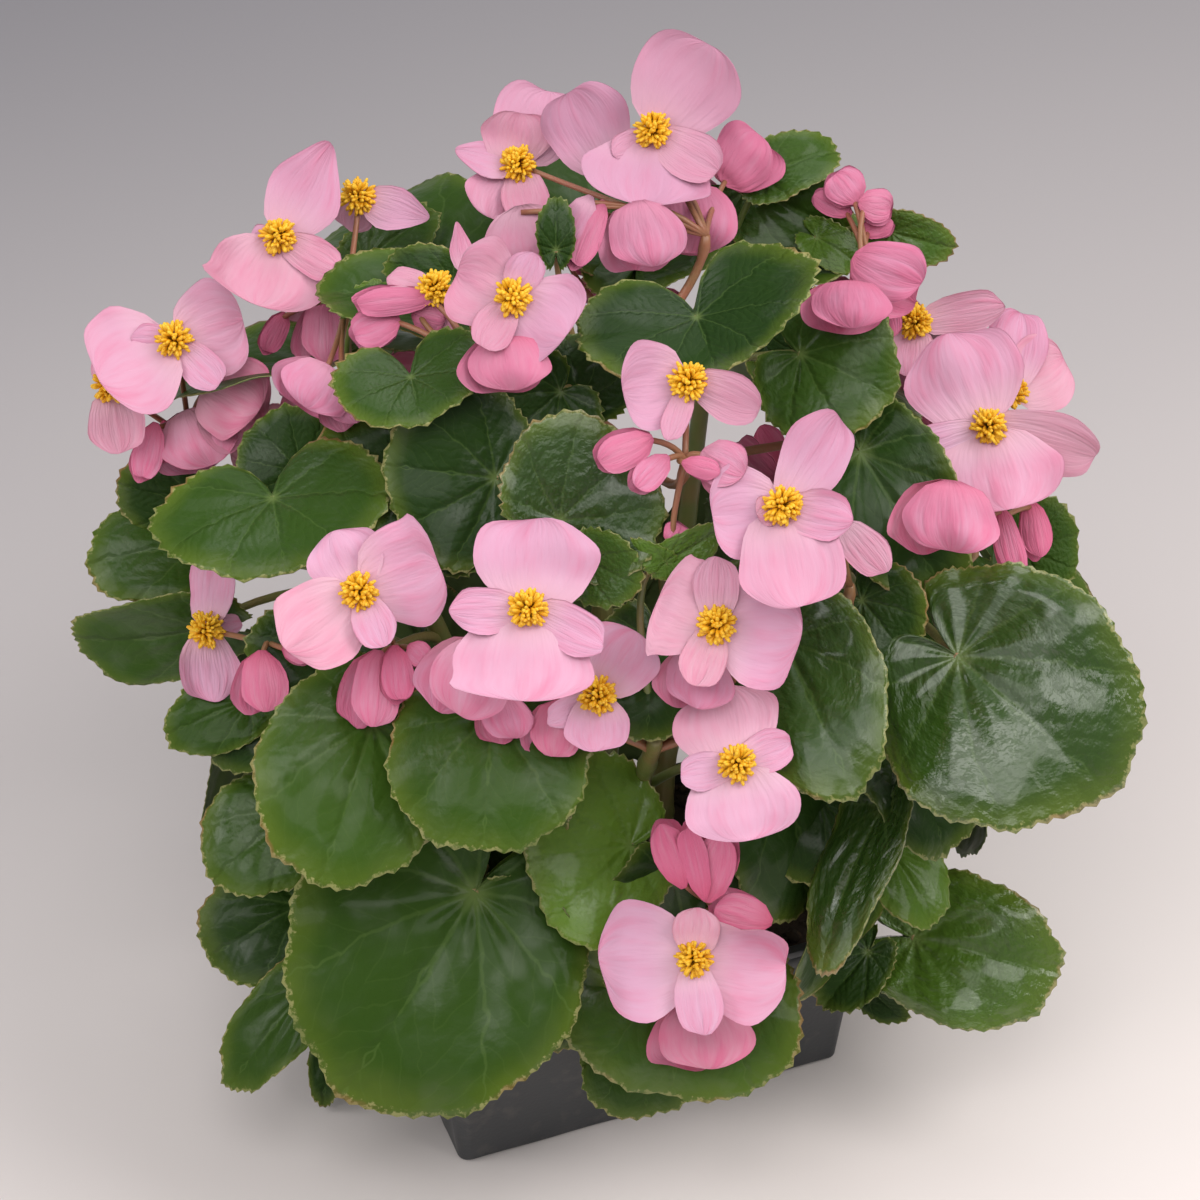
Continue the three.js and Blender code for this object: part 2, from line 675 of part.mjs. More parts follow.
function pot() {
  const below = POT_HEIGHT - RIM_HEIGHT;
  const loops = [
    potLoop(0, 0),
    potLoop(below, -RIM_WIDTH),
    potLoop(below, 0),
    potLoop(POT_HEIGHT, 0),
    potLoop(POT_HEIGHT, -RIM_WIDTH - POT_WALL),
    potLoop(POT_WALL, -POT_WALL),
  ];
  const shell = toSolid(lofted(loops, new THREE.Vector3(), new THREE.Vector3(0, 0, POT_WALL)));
  const drains = DRAIN_PLACES.map(([x, y]) => {
    const plug = new THREE.CylinderGeometry(DRAIN_RADIUS, DRAIN_RADIUS, 4 * POT_WALL, 12);
    plug.rotateX(Math.PI / 2);
    plug.translate(x, y, 0);
    return toSolid(plug);
  });
  return shell.subtract(joined(drains));
}

function soil() {
  const inside = -POT_WALL - GAP;
  const loops = [
    potLoop(POT_WALL + GAP, inside - 0.2),
    potLoop(SOIL_TOP, inside - RIM_WIDTH - 0.4),
  ];
  const foot = new THREE.Vector3(0, 0, POT_WALL + GAP);
  const middle = new THREE.Vector3(0, 0, SOIL_TOP);
  const mound = loops[1].map((point) => point.clone().lerp(middle, 0.4).setZ(SOIL_TOP + SOIL_MOUND));
  return toSolid(lofted([...loops, mound], foot, middle.setZ(SOIL_TOP + SOIL_MOUND)));
}

// Each piece gives way, with a small gap, to those placed before it, and stays in one body.
const object = new THREE.Group();
const placed = [];

function boxesMeet(a, b) {
  return a.min.every((low, i) => low <= b.max[i] && b.min[i] <= a.max[i]);
}

function place(name, solid, room, color, roughness) {
  const box = solid.boundingBox();
  const near = placed.filter((other) => boxesMeet(other.box, box)).map((other) => other.room);
  const rest = near.length ? solid.subtract(joined(near)) : solid;
  const bodies = rest.decompose();
  const body = bodies.reduce((big, next) => (next.volume() > big.volume() ? next : big));
  placed.push({ box: room.boundingBox(), room });
  const mesh = new THREE.Mesh(
    toGeometry(body), new THREE.MeshStandardMaterial({ color, roughness, metalness: 0 }),
  );
  mesh.name = name;
  object.add(mesh);
}

const potBody = pot();
place("pot", potBody, potBody, 0x3c3e40, 0.5);
const soilBody = soil();
place("soil", soilBody, soilBody, 0x2b1d14, 0.95);

for (const [name, curve] of Object.entries(stemCurves)) {
  const make = (extra) => stalk(curve, STEM_FOOT_RADIUS + extra, STEM_HEAD_RADIUS + extra, 6, 6);
  place(name, make(0), make(GAP), 0x6b7a3c, 0.5);
}
for (const cluster of CLUSTERS) {
  place(cluster.name, clusterSolid(cluster, seen, 0), clusterSolid(cluster, seen, GAP), 0xecaac8, 0.5);
}
for (const [name, [azimuth, height, inset, turn]] of Object.entries(FAR_CLUSTERS)) {
  const spots = around(azimuth, height);
  const spray = farSpray(radians(turn), inset);
  place(name, clusterSolid(spray, spots, 0), clusterSolid(spray, spots, GAP), 0xecaac8, 0.5);
}
for (const [name, [jx, jy, tx, ty, width, inset, ...shape]] of Object.entries(LEAVES)) {
  const make = (extra) => leafSolid(seen(jx, jy, inset), tx - jx, ty - jy, [width, ...shape], extra);
  place(name, make(0), make(GAP), 0x3f6b2a, 0.35);
}
for (const [name, row] of Object.entries(FAR_LEAVES)) {
  const [azimuth, height, inset, aim, length, width, lean, ...shape] = row;
  const shown = length * Math.cos(radians(lean));
  const dx = shown * Math.sin(radians(aim));
  const dy = shown * Math.cos(radians(aim));
  const spots = around(azimuth, height);
  const make = (extra) => leafSolid(spots(0, 0, inset), dx, dy, [width, lean, ...shape], extra);
  place(name, make(0), make(GAP), 0x3f6b2a, 0.35);
}

export default object;
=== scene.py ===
import math
from collections import namedtuple

import bpy
import numpy as np
from mathutils import Matrix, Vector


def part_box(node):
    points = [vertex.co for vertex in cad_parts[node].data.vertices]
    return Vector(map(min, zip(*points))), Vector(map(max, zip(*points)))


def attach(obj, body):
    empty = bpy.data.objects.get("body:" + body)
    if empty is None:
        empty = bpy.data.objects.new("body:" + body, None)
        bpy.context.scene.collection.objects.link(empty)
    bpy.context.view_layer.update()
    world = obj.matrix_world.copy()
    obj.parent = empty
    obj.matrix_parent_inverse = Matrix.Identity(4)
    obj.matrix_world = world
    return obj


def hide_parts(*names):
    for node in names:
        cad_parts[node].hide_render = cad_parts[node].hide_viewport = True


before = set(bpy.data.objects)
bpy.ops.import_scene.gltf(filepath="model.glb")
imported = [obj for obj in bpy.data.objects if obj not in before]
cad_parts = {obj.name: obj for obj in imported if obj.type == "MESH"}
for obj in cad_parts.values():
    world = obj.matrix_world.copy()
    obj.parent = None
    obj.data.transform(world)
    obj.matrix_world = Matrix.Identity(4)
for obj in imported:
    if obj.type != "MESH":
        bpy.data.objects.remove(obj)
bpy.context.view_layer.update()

MM = 0.001

# Pot and soil, from the frame
pot_low, pot_high = (np.array(corner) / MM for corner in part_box("pot"))
soil_low, soil_high = (np.array(corner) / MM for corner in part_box("soil"))
POT_LENGTH = pot_high[0] - pot_low[0]
POT_WIDTH = pot_high[1] - pot_low[1]
POT_HEIGHT = pot_high[2]
POT_TAPER = math.radians(5.5)
POT_CORNER = 7.0
POT_WALL = 1.1
RIM_WIDTH = 2.2
RIM_HEIGHT = 3.0
RIB_DEPTH = 0.4
RIB_POINTS = 6  # points of the outline from rib to rib
FOOT_WAVE = 0.35
DRAIN_RADIUS = 4.0
DRAIN_PLACES = [(-38, -20), (38, -20), (-38, 20), (38, 20)]
SOIL_MOUND = 2.0
SOIL_TOP = soil_high[2] - SOIL_MOUND
STEM_START = soil_high[2] + 0.3

# Plant
CANOPY_CENTRE = 155
CANOPY_RADIUS = 114
CANOPY_RISE = 131
TUCK = 55
TUCK_FROM = 500
STEM_FOOT_RADIUS = 3.6
STEM_HEAD_RADIUS = 2.2
PETIOLE_RADIUS = 1.4
PEDUNCLE_RADIUS = 1.3
PEDICEL_RADIUS = 0.75
STALK_DROP = 18
# How red the stalks are, from 0 to 1
PEDICEL_RED = 0.75
PEDUNCLE_RED = 0.7
STEM_RED = 0.35
PETIOLE_RED = (0.15, 0.5)
STAMEN_RADIUS = 5.2
STAMENS_PER_FLOWER = 84
LEAF_THICKNESS = 0.6
SEAT = 0.42  # how far a leaf's junction lies from the blade's middle, in half lengths
TEPAL_THICKNESS = 0.45
TOOTH = 1.0
VEIN_STEP = 0.68  # angle between a leaf's main veins
VEIN_BEND = 0.16  # how far the veins swing towards the tip
SIDE_VEIN_STEP = 0.062  # between side veins, in leaf lengths
WIDE_BUD = 12  # wider ones are half-open, with a front and a back lobe that part
SINGLE_TEPAL = 0.3  # a paler one is a single open tepal
SMALL_TEPAL = 16  # narrower ones have fewer points
TEPAL_SAG = 0.2  # in lengths
EDGE_WAVE = 0.045  # in widths, as are the next two
TIP_WAVE = 0.05
CREASE_DEPTH = (0.008, 0.028)
CREASE_WIDTH = 0.15
STAMEN_LENGTHS = (0.84, 1.06)
ANTHER_RADII = (0.46, 0.6)
LOBE_PLUMPNESS = 0.16
LEAF_ARCH = 0.28
LOBE_RISE = 0.25
QUILT_RISE = 0.01
RIM_WAVE = 0.035
RIM_RIPPLE = 0.018
RIM_DROOP = 0.05
LOW_TEPAL = 20  # narrower ones lie on top of the broad ones
POINTED = 2  # the corners a tepal may have
BOTH_SIDES = 3
BACK_DEPTH = 0.22  # how much deeper pink the outside is
CRUMBS = 460
FIBRES = 40

# The side that the plant is drawn from, in steps across and down a square of 1200 by 1200
AZIMUTH = math.radians(-20.8)
ELEVATION = math.radians(40)
DISTANCE = 1020
STEPS_PER_UNIT = 3696
MIDDLE = 600
TARGET = np.array([-2.0, 1.0, 168.0])
SIGHT_RIGHT = np.array([math.cos(AZIMUTH), math.sin(AZIMUTH), 0])
SIGHT_OUT = np.array([
    math.sin(AZIMUTH) * math.cos(ELEVATION),
    -math.cos(AZIMUTH) * math.cos(ELEVATION),
    math.sin(ELEVATION),
])
SIGHT_UP = np.cross(SIGHT_OUT, SIGHT_RIGHT)
EYE = TARGET + DISTANCE * SIGHT_OUT

# Stems: foot x, y on the soil, then head x, y, z
STEMS = {
    "stem_front_left": [-26, -14, -64, -44, 158],
    "stem_back_left": [-22, 14, -62, 40, 205],
    "stem_front": [-3, -18, -10, -62, 172],
    "stem_middle": [2, 3, -2, 8, 235],
    "stem_right": [24, -12, 62, -22, 178],
    "stem_back_right": [22, 14, 50, 48, 222],
    "stem_back": [-2, 22, -8, 76, 165],
}

# Clusters of blooms. fork: x, y, inset. flowers: x, y, inset, then the tepals, each as tip x, tip y,
# width in mm, lean, roll, and where given the corner (-1 or 1 on a side, 2 at the tip, 3 on both sides)
# and the curl of one edge. buds: foot x, foot y, tip x, tip y, width in mm, lean, roll, inset, and where
# given how deep the pink is, the corner and the curl.
CLUSTERS = {
    "flowers_top": {
        "fork": [706, 235, 22],
        "flowers": [
            [653, 132, -14, [710, 47, 30, 12, 0], [640, 208, 35, 22, 0], [717, 173, 14, 20, 0],
                [613, 156, 9, 10, 0]],
            [518, 165, 0, [550, 82, 25, -15, 0], [520, 112, 20, 5, 0], [455, 150, 13, 10, 30, 2],
                [492, 220, 21, 15, 0], [530, 222, 13, 20, 0]],
        ],
        "buds": [
            [612, 172, 568, 92, 24, 10, -10, -8, 0.1], [722, 183, 768, 135, 19, -10, 0, 0, 0.85],
            [684, 182, 677, 255, 30, 10, 0, -4, 0.6], [640, 200, 648, 272, 22, -5, 0, 6],
            [592, 196, 566, 244, 9, 0, 0, 4, 0.35], [604, 200, 573, 270, 8, 5, 0, 8],
            [520, 205, 530, 264, 25, 0, 0, 12, 0.25],
        ],
    },
    "flowers_upper_left": {
        "fork": [346, 300, 16],
        "flowers": [
            [279, 237, -8, [331, 142, 23, 0, 0, 2], [258, 306, 32, 20, -12, -1], [341, 273, 11, 15, 0],
                [252, 243, 9, 0, 0]],
            [359, 197, 10, [431, 222, 14, 20, 0, 2], [346, 228, 12, -40, 0]],
        ],
        "buds": [
            [326, 298, 320, 366, 15, 0, 0, 2], [285, 312, 264, 354, 7, 0, 0, 4],
            [330, 366, 298, 408, 21, 10, 0, 6, 0.45], [340, 372, 352, 428, 14, -5, 0, 10],
        ],
    },
    "flowers_left": {
        "fork": [190, 440, 20],
        "flowers": [
            [175, 341, -8, [243, 318, 27, 0, 0], [103, 382, 35, 15, 20], [222, 386, 11, 15, 0],
                [132, 339, 9, 0, 0]],
            [111, 387, 4, [122, 454, 16, 10, -15], [95, 350, 8, -40, 0]],
        ],
        "buds": [
            [206, 382, 264, 420, 26, 10, 0, 1, 0.42], [186, 410, 204, 471, 23, 5, 0, 8, 0.42],
            [156, 422, 140, 482, 9, 0, 0, 6], [164, 420, 161, 468, 6, 0, 0, 12],
        ],
    },
    "flowers_middle_left": {
        "fork": [478, 372, 22],
        "flowers": [
            [513, 298, -6, [455, 270, 24, 0, 0], [534, 253, 10, 0, 0], [566, 338, 28, 15, 0],
                [483, 349, 11, 20, 0]],
            [436, 289, 6, [388, 277, 9, 0, 20], [448, 330, 9, -20, 0]],
        ],
        "buds": [
            [505, 335, 505, 394, 22, 5, 0, 2], [436, 296, 352, 304, 8, 0, 0, 6],
            [400, 318, 350, 336, 12, 0, 20, 8], [412, 312, 447, 322, 9, 0, 20, 10],
            [466, 275, 457, 222, 7, -10, 0, 6, 0.28, 2],
        ],
    },
    "flowers_upper_right": {
        "fork": [872, 300, 14],
        "flowers": [
            [914, 322, 4, [1003, 305, 12, 0, 20], [905, 377, 14, 15, 0], [926, 372, 8, 10, 0]],
        ],
        "buds": [
            [858, 203, 833, 172, 12, 0, 0, 4], [858, 203, 894, 209, 10, 0, 0, 2],
            [852, 214, 813, 193, 7, -10, 0, 6], [862, 232, 894, 221, 7, 0, 0, 4],
            [850, 281, 845, 333, 22, 15, 0, -19, 0.75], [854, 255, 920, 296, 18, 10, 0, -12, 0.65],
            [888, 300, 894, 337, 6, 0, 0, 0],
        ],
    },
    "flowers_right": {
        "fork": [975, 545, 20],
        "flowers": [
            [988, 427, -18, [950, 334, 33, 0, 0], [1097, 458, 18, 0, 25], [901, 462, 13, 10, 0],
                [1004, 510, 35, 25, 0, -1]],
            [1010, 392, 8, [1024, 308, 17, -10, 0], [1068, 356, 22, -10, 0]],
        ],
        "buds": [
            [950, 480, 940, 556, 26, -5, 0, -8, 0.55], [1000, 505, 1018, 581, 8, 0, 0, 2],
            [1030, 500, 1040, 560, 9, 0, 0, 4],
        ],
    },
    "flowers_centre": {
        "fork": [685, 462, 8],
        "flowers": [
            [688, 382, -4, [622, 392, 23, 15, 0], [757, 412, 13, 20, 20], [668, 440, 7, 25, 0]],
        ],
        "buds": [
            [652, 436, 596, 464, 10, 10, 0, 0], [668, 456, 633, 490, 8, 20, 0, 2],
            [702, 452, 740, 482, 13, 20, 0, 4], [682, 462, 722, 474, 6, 10, 0, 2],
            [670, 545, 682, 523, 7, 0, 0, 12],
        ],
    },
    "flowers_centre_right": {
        "fork": [850, 585, 22],
        "flowers": [
            [782, 506, -6, [838, 416, 17, 5, 0], [711, 516, 24, 0, 0], [800, 605, 27, 20, 0],
                [850, 520, 13, 15, 0], [757, 514, 8, 15, 0]],
        ],
        "buds": [
            [842, 520, 886, 572, 11, 0, 0, 8, 0.2],
        ],
    },
    "flowers_middle": {
        "fork": [740, 700, 24],
        "flowers": [
            [716, 625, -4, [658, 600, 26, 5, 0, 3], [716, 557, 12, 5, 0], [800, 632, 32, 5, 0],
                [695, 684, 12, 15, 0]],
            [737, 764, -17, [722, 690, 28, -10, 0], [680, 775, 10, 10, 0], [792, 742, 11, 0, 0],
                [749, 837, 30, 15, 0]],
        ],
        "buds": [
            [704, 648, 688, 710, 19, 0, 0, 6, 0.42],
        ],
    },
    "flowers_front": {
        "fork": [560, 690, 26],
        "flowers": [
            [528, 609, -10, [538, 518, 32, 0, 0], [452, 610, 12, 10, 0], [523, 702, 35, 20, 0, -1],
                [603, 645, 12, 12, 0]],
            [597, 695, 4, [634, 632, 22, 20, 0], [597, 751, 17, 10, 0], [548, 722, 8, 0, 0]],
        ],
        "buds": [
            [482, 640, 448, 716, 22, -5, 0, 4, 0.42], [500, 690, 508, 743, 14, -5, 0, 8],
            [560, 700, 546, 759, 14, -5, 0, 8],
        ],
    },
    "flowers_front_left": {
        "fork": [400, 655, 22],
        "flowers": [
            [360, 591, -6, [334, 532, 20, 0, 0], [441, 566, 28, 0, 12, 1], [288, 648, 24, 15, 0],
                [386, 647, 11, 20, 0]],
        ],
        "buds": [
            [380, 650, 364, 729, 14, 0, 0, 8], [394, 645, 400, 704, 9, 0, 0, 4],
            [408, 645, 428, 662, 7, 0, 0, 6],
        ],
    },
    "flowers_left_edge": {
        "fork": [272, 644, 18],
        "flowers": [
            [207, 630, -2, [212, 558, 15, -10, -25], [214, 700, 17, 5, -15], [240, 622, 6, -30, 0]],
        ],
        "buds": [
            [262, 650, 260, 715, 14, 0, 0, 6], [282, 648, 312, 658, 6, 0, 0, 8],
        ],
    },
    "flowers_bottom": {
        "fork": [718, 900, 20],
        "flowers": [
            [694, 958, -22, [600, 960, 33, 0, 0], [788, 968, 32, -5, 0, 0, 0.5], [697, 908, 13, 5, 0],
                [703, 1032, 13, 15, 0]],
        ],
        "buds": [
            [698, 1000, 700, 1072, 28, 0, 0, -16, 0.5], [684, 888, 660, 819, 10, 15, 0, 0],
            [704, 900, 686, 820, 8, 15, 0, -4], [706, 902, 722, 830, 12, 15, 0, -2],
            [772, 922, 710, 904, 12, 15, 0, -8], [650, 1000, 655, 1050, 10, -5, 0, 2],
        ],
    },
}

# The clusters of the far side: azimuth, height, inset, turn of the whole spray in degrees
FAR_CLUSTERS = {
    "flowers_far_right": [108, 206, 0, 10],
    "flowers_far_back": [156, 226, 0, -25],
    "flowers_far_left": [208, 198, 0, 20],
    "flowers_far_low": [128, 124, -20, 35],
}

# Their spray, in mm across and down from the middle of the cluster
FAR_SPRAY = {
    "fork": [2, 6, 24],
    "flowers": [
        [-9, -7, -4, [-6, -32, 27, 0, 0], [-12, 17, 29, 20, 0], [-28, -5, 11, 10, 0], [9, -9, 11, 10, 0]],
        [18, 8, 4, [38, -4, 25, 0, 0], [6, 26, 24, 20, 0], [12, -10, 10, 5, 0], [30, 24, 10, 15, 0]],
    ],
    "buds": [
        [0, 14, -7, 33, 19, 5, 0, 5], [-8, 12, -24, 26, 13, 0, 0, 7], [10, -8, 16, -25, 13, 5, 0, 6],
    ],
}

# Leaves in view: junction x, y, tip x, y, width in mm, inset, lean, roll, fold, and where given the seat
LEAVES = {
    "leaf_front_low_left": [474, 893, 345, 1092, 80, 8, 8, -8, 0.1],
    "leaf_front_left": [372, 722, 322, 882, 51, 2, 14, -8, 0.08],
    "leaf_front_middle": [492, 712, 484, 854, 51, 12, 12, 0, 0.06],
    "leaf_front_right": [630, 845, 524, 856, 52, 31, 10, 0, 0.08],
    "leaf_bottom": [684, 962, 672, 1101, 68, 14, 0, 0, 0.04],
    "leaf_bottom_under": [640, 1036, 648, 1121, 36, 14, -10, 0, 0.05],
    "leaf_right_large": [958, 657, 1104, 790, 67, -10, 15, 4, 0.14],
    "leaf_right_low": [915, 938, 1056, 968, 44, 0, 18, 0, 0.14],
    "leaf_right_middle": [785, 640, 850, 788, 42, 21, 24, 10, 0.12],
    "leaf_right_folded": [885, 806, 824, 968, 26, 10, 8, 45, 0.3],
    "leaf_top_middle": [697, 318, 716, 378, 63, 12, 35, 0, 0.2, 0.05],
    "leaf_top_right": [801, 354, 888, 396, 42, 32, 12, 0, 0.1],
    "leaf_upper_left": [411, 378, 424, 426, 40, 10, 35, 0, 0.2, 0.08],
    "leaf_left_shoulder": [273, 499, 292, 576, 62, 4, 35, 0, 0.15, 0.25],
    "leaf_left_low_edge": [196, 545, 88, 566, 30, 18, 10, 20, 0.1],
    "leaf_left_tip": [206, 628, 66, 640, 28, 12, -10, -35, 0.1],
    "leaf_centre_glossy": [560, 520, 640, 446, 44, 20, 8, 0, 0.15],
    "leaf_centre_dark": [495, 478, 386, 466, 48, 34, 5, 0, 0.1],
    "leaf_centre_left": [434, 556, 432, 492, 34, 26, -10, 0, 0.1],
    "leaf_right_dark": [860, 452, 944, 596, 38, 40, 5, 0, 0.15],
    "leaf_crown_right": [764, 178, 838, 148, 20, 12, -10, -25, 0.2],
    "leaf_crown_left": [366, 262, 438, 212, 21, 24, 0, -20, 0.2],
    "leaf_left_flank": [292, 812, 215, 880, 34, 14, 5, 12, 0.1],
    "leaf_left_foot": [310, 985, 228, 1090, 24, -24, -5, 20, 0.1],
    "leaf_left_nook": [250, 700, 166, 736, 22, 16, 0, 10, 0.1],
}

# Small and half-hidden leaves in view, in the same form
SMALL_LEAVES = {
    "small_left_rim": [196, 500, 118, 484, 26, 22, 5, -15, 0.15],
    "small_centre_tip": [585, 560, 639, 585, 20, 16, 10, 15, 0.2],
    "small_right_sprig": [891, 232, 953, 248, 15, 8, 0, 20, 0.3],
    "small_right_sprig_low": [817, 238, 862, 268, 13, 14, 10, 0, 0.3],
    "small_centre_shoot": [668, 560, 722, 528, 11, 12, 5, 20, 0.35],
    "small_centre_shoot_left": [665, 562, 628, 545, 8, 12, 5, -20, 0.35],
    "small_left_pale": [356, 312, 384, 284, 9, 16, 10, 0, 0.35],
    "small_left_dark": [452, 284, 388, 262, 16, 26, 0, 10, 0.2],
    "small_crown_behind": [745, 190, 850, 232, 30, 22, 5, 10, 0.15],
    "small_crown_dark": [556, 250, 556, 196, 10, 26, 0, 0, 0.2],
    "small_left_behind": [300, 470, 255, 425, 30, 36, 0, 0, 0.15],
    "small_right_edge": [1022, 545, 1078, 535, 28, 14, 0, 10, 0.15],
    "small_right_under": [862, 600, 905, 655, 30, 30, 10, 10, 0.15],
    "small_right_nook": [958, 612, 905, 645, 28, 24, 0, -10, 0.15],
    "small_right_hang": [905, 760, 945, 850, 36, 26, 10, -30, 0.15],
    "small_right_low_pale": [888, 850, 930, 925, 24, 34, 10, -25, 0.2],
    "small_right_rim": [868, 952, 822, 1008, 20, 30, 0, 15, 0.2],
    "small_left_low_dark": [268, 705, 212, 760, 26, 26, 5, 0, 0.15],
    "small_left_low_edge": [300, 905, 205, 960, 34, 26, 0, 10, 0.15],
    "small_front_shade": [560, 985, 545, 1052, 22, 30, 0, 0, 0.15],
    "small_front_tip": [338, 1030, 322, 1108, 12, 14, 0, 20, 0.3],
    "small_centre_back": [580, 402, 565, 335, 34, 44, 0, 0, 0.15],
    "small_centre_back_left": [560, 392, 508, 440, 34, 34, 5, 0, 0.15],
    "small_right_wilted": [868, 985, 905, 1018, 13, 14, 5, 30, 0.45],
    "small_top_shade": [760, 330, 800, 300, 36, 48, 0, 0, 0.15],
    "small_middle_shade": [820, 800, 780, 870, 46, 34, 5, 0, 0.1],
    "small_middle_gap": [655, 640, 646, 742, 36, 42, 5, 0, 0.1],
    "small_left_gap": [330, 640, 300, 720, 40, 34, 5, 0, 0.1],
    "small_left_gap_high": [392, 500, 338, 424, 34, 46, 5, 0, 0.15],
}

# Leaves by their place on the dome: azimuth, height, inset, turn from straight down, length and width
# in mm, lean, roll, fold. They stand on the far side, inside the plant and on its crown.
DOME_LEAVES = {
    "leaf_far_low": [
        [80, 112, 4, 12, 58, 60, 18, 0, 0.12], [108, 104, 2, -14, 66, 66, 18, 6, 0.1],
        [150, 108, 4, 10, 68, 68, 20, -6, 0.12], [192, 104, 2, -10, 64, 66, 18, 4, 0.1],
        [232, 110, 4, 14, 60, 60, 18, 0, 0.12],
    ],
    "leaf_far_high": [
        [74, 172, 6, -10, 54, 58, 34, 5, 0.18], [104, 178, 12, 12, 62, 66, 36, -5, 0.16],
        [140, 182, 6, -8, 64, 66, 34, 6, 0.18], [180, 188, 6, 10, 62, 66, 36, 0, 0.16],
    ],
    "inner": [
        [-70, 120, 36, 10, 52, 52, 15, 0, 0.1], [-40, 96, 34, -12, 52, 54, 12, 5, 0.1],
        [-5, 110, 44, 8, 46, 46, 12, -5, 0.1], [35, 100, 28, -8, 54, 54, 15, 0, 0.12],
        [66, 130, 30, 10, 50, 50, 15, 6, 0.1], [92, 92, 26, -12, 52, 52, 15, 0, 0.12],
        [120, 136, 34, 8, 52, 54, 14, -6, 0.1], [152, 90, 26, 12, 54, 54, 15, 0, 0.12],
        [178, 134, 34, -10, 52, 52, 14, 5, 0.1], [206, 92, 26, 8, 52, 54, 15, 0, 0.12],
        [236, 138, 32, -8, 50, 52, 14, -5, 0.1], [264, 104, 28, 10, 52, 52, 15, 0, 0.12],
        [-95, 158, 34, -10, 46, 48, 15, 0, 0.1], [20, 150, 44, 5, 46, 48, 12, 0, 0.1],
        [-50, 156, 58, -5, 42, 44, 12, 0, 0.1],
    ],
    "crown": [
        [126, 244, 12, -12, 50, 54, 38, 5, 0.2], [160, 256, 14, 14, 50, 54, 42, -5, 0.2],
        [196, 240, 8, -8, 54, 56, 38, 0, 0.18], [228, 232, 10, 12, 48, 52, 36, 5, 0.18],
        [102, 232, 34, 8, 44, 48, 30, -5, 0.18], [150, 262, 22, -10, 40, 42, 40, 0, 0.25],
        [232, 270, 20, 6, 36, 38, 40, 0, 0.25],
    ],
}

# How pale (0 to 1) and how wet or glossy (0 to 1) single leaves are. The others take the middling tone or
# the darker one, which is painted shade. The paleness is partly each leaf's own and partly painted light
# and shade: leaves deep inside the plant, leaf_centre_dark among them, are painted darker for the shade
# there.
MIDDLING = (0.4, 0.2)
# Painted shade: a darker tone for leaves that sit in the shade inside the plant.
SHADE_DARKENED = (0.08, 0.2)
LEAF_LOOKS = {
    "leaf_front_low_left": (0.34, 0.15),
    "leaf_front_left": (0.6, 0.2),
    "leaf_front_middle": (0.5, 0.2),
    # Painted light: paler than its own green, to make up for the shade of the flowers over it.
    "leaf_front_right": (1.1, 0.4),
    "leaf_bottom": (0.75, 0.3),
    "leaf_right_large": (0.3, 1.0),
    "leaf_right_low": (0.85, 1.0),
    "leaf_right_middle": (0.25, 0.6),
    "leaf_right_folded": (0.2, 0.9),
    "leaf_top_middle": (0.0, 0.15),
    "leaf_upper_left": (0.35, 0.25),
    "leaf_left_shoulder": (0.35, 0.2),
    "leaf_centre_glossy": (0.25, 0.9),
    "leaf_centre_dark": (0.0, 0.2),
    "leaf_centre_left": SHADE_DARKENED,
    "leaf_right_dark": SHADE_DARKENED,
    "leaf_left_flank": (0.6, 0.3),
    "leaf_crown_right": (0.6, 0.3),
    "small_centre_shoot": (0.9, 0.4),
    "small_centre_shoot_left": (0.9, 0.4),
    "small_left_pale": (1.0, 0.4),
    "small_right_low_pale": (0.9, 0.3),
    "small_right_sprig": (0.8, 0.4),
    "small_right_sprig_low": (0.9, 0.4),
    "small_right_edge": (0.55, 0.3),
    "small_centre_tip": (0.6, 0.4),
    "small_crown_behind": (0.5, 0.4),
}

Spot = namedtuple("Spot", "point right up out scale")


class Aim(namedtuple("Aim", "along side face length")):
    """The directions along, across and off a blade or tepal, and its length."""

    def surface(self, foot, along, aside, off):
        """Points by their distances from the foot along the three directions."""
        return (
            foot
            + self.along * along[..., None]
            + self.side * aside[..., None]
            + self.face * off[..., None]
        )


def unit(vector):
    return vector / np.linalg.norm(vector)


def turned(vector, axis, angle):
    """The vector turned about a unit axis."""
    return (
        vector * math.cos(angle)
        + np.cross(axis, vector) * math.sin(angle)
        + axis * np.dot(axis, vector) * (1 - math.cos(angle))
    )


def smooth(values, low, high):
    share = np.clip((values - low) / (high - low), 0, 1)
    return share * share * (3 - 2 * share)


# Where things are

def seen(across, down, inset):
    """The spot that shows at a step across and down, on the leafy dome or this far inside it."""
    ray = unit(
        -STEPS_PER_UNIT * SIGHT_OUT + (across - MIDDLE) * SIGHT_RIGHT + (MIDDLE - down) * SIGHT_UP
    )
    squash = np.array([1 / CANOPY_RADIUS, 1 / CANOPY_RADIUS, 1 / CANOPY_RISE])
    start = (EYE - np.array([0, 0, CANOPY_CENTRE])) * squash
    step = ray * squash
    a = step @ step
    b = start @ step
    c = start @ start - 1
    tuck = TUCK * max(down / TUCK_FROM - 1, 0)
    reach = (-b - math.sqrt(max(b * b - a * c, 0))) / a + inset + tuck
    depth = -reach * (ray @ SIGHT_OUT)
    return Spot(EYE + ray * reach, SIGHT_RIGHT, SIGHT_UP, SIGHT_OUT, depth / STEPS_PER_UNIT)


def around(azimuth, height):
    """A spot on the dome by azimuth and height. Its neighbours lie flat beside it."""
    turn = math.radians(azimuth)
    level = (height - CANOPY_CENTRE) / CANOPY_RISE
    radius = CANOPY_RADIUS * math.sqrt(1 - level * level)
    middle = np.array([math.sin(turn) * radius, -math.cos(turn) * radius, height])
    right = np.array([math.cos(turn), math.sin(turn), 0])
    out = unit(np.array([
        middle[0] / CANOPY_RADIUS**2, middle[1] / CANOPY_RADIUS**2, level / CANOPY_RISE,
    ]))
    up = np.cross(out, right)

    def place(across, down, inset):
        return Spot(middle + right * across - up * down - out * inset, right, up, out, 1.0)

    return place


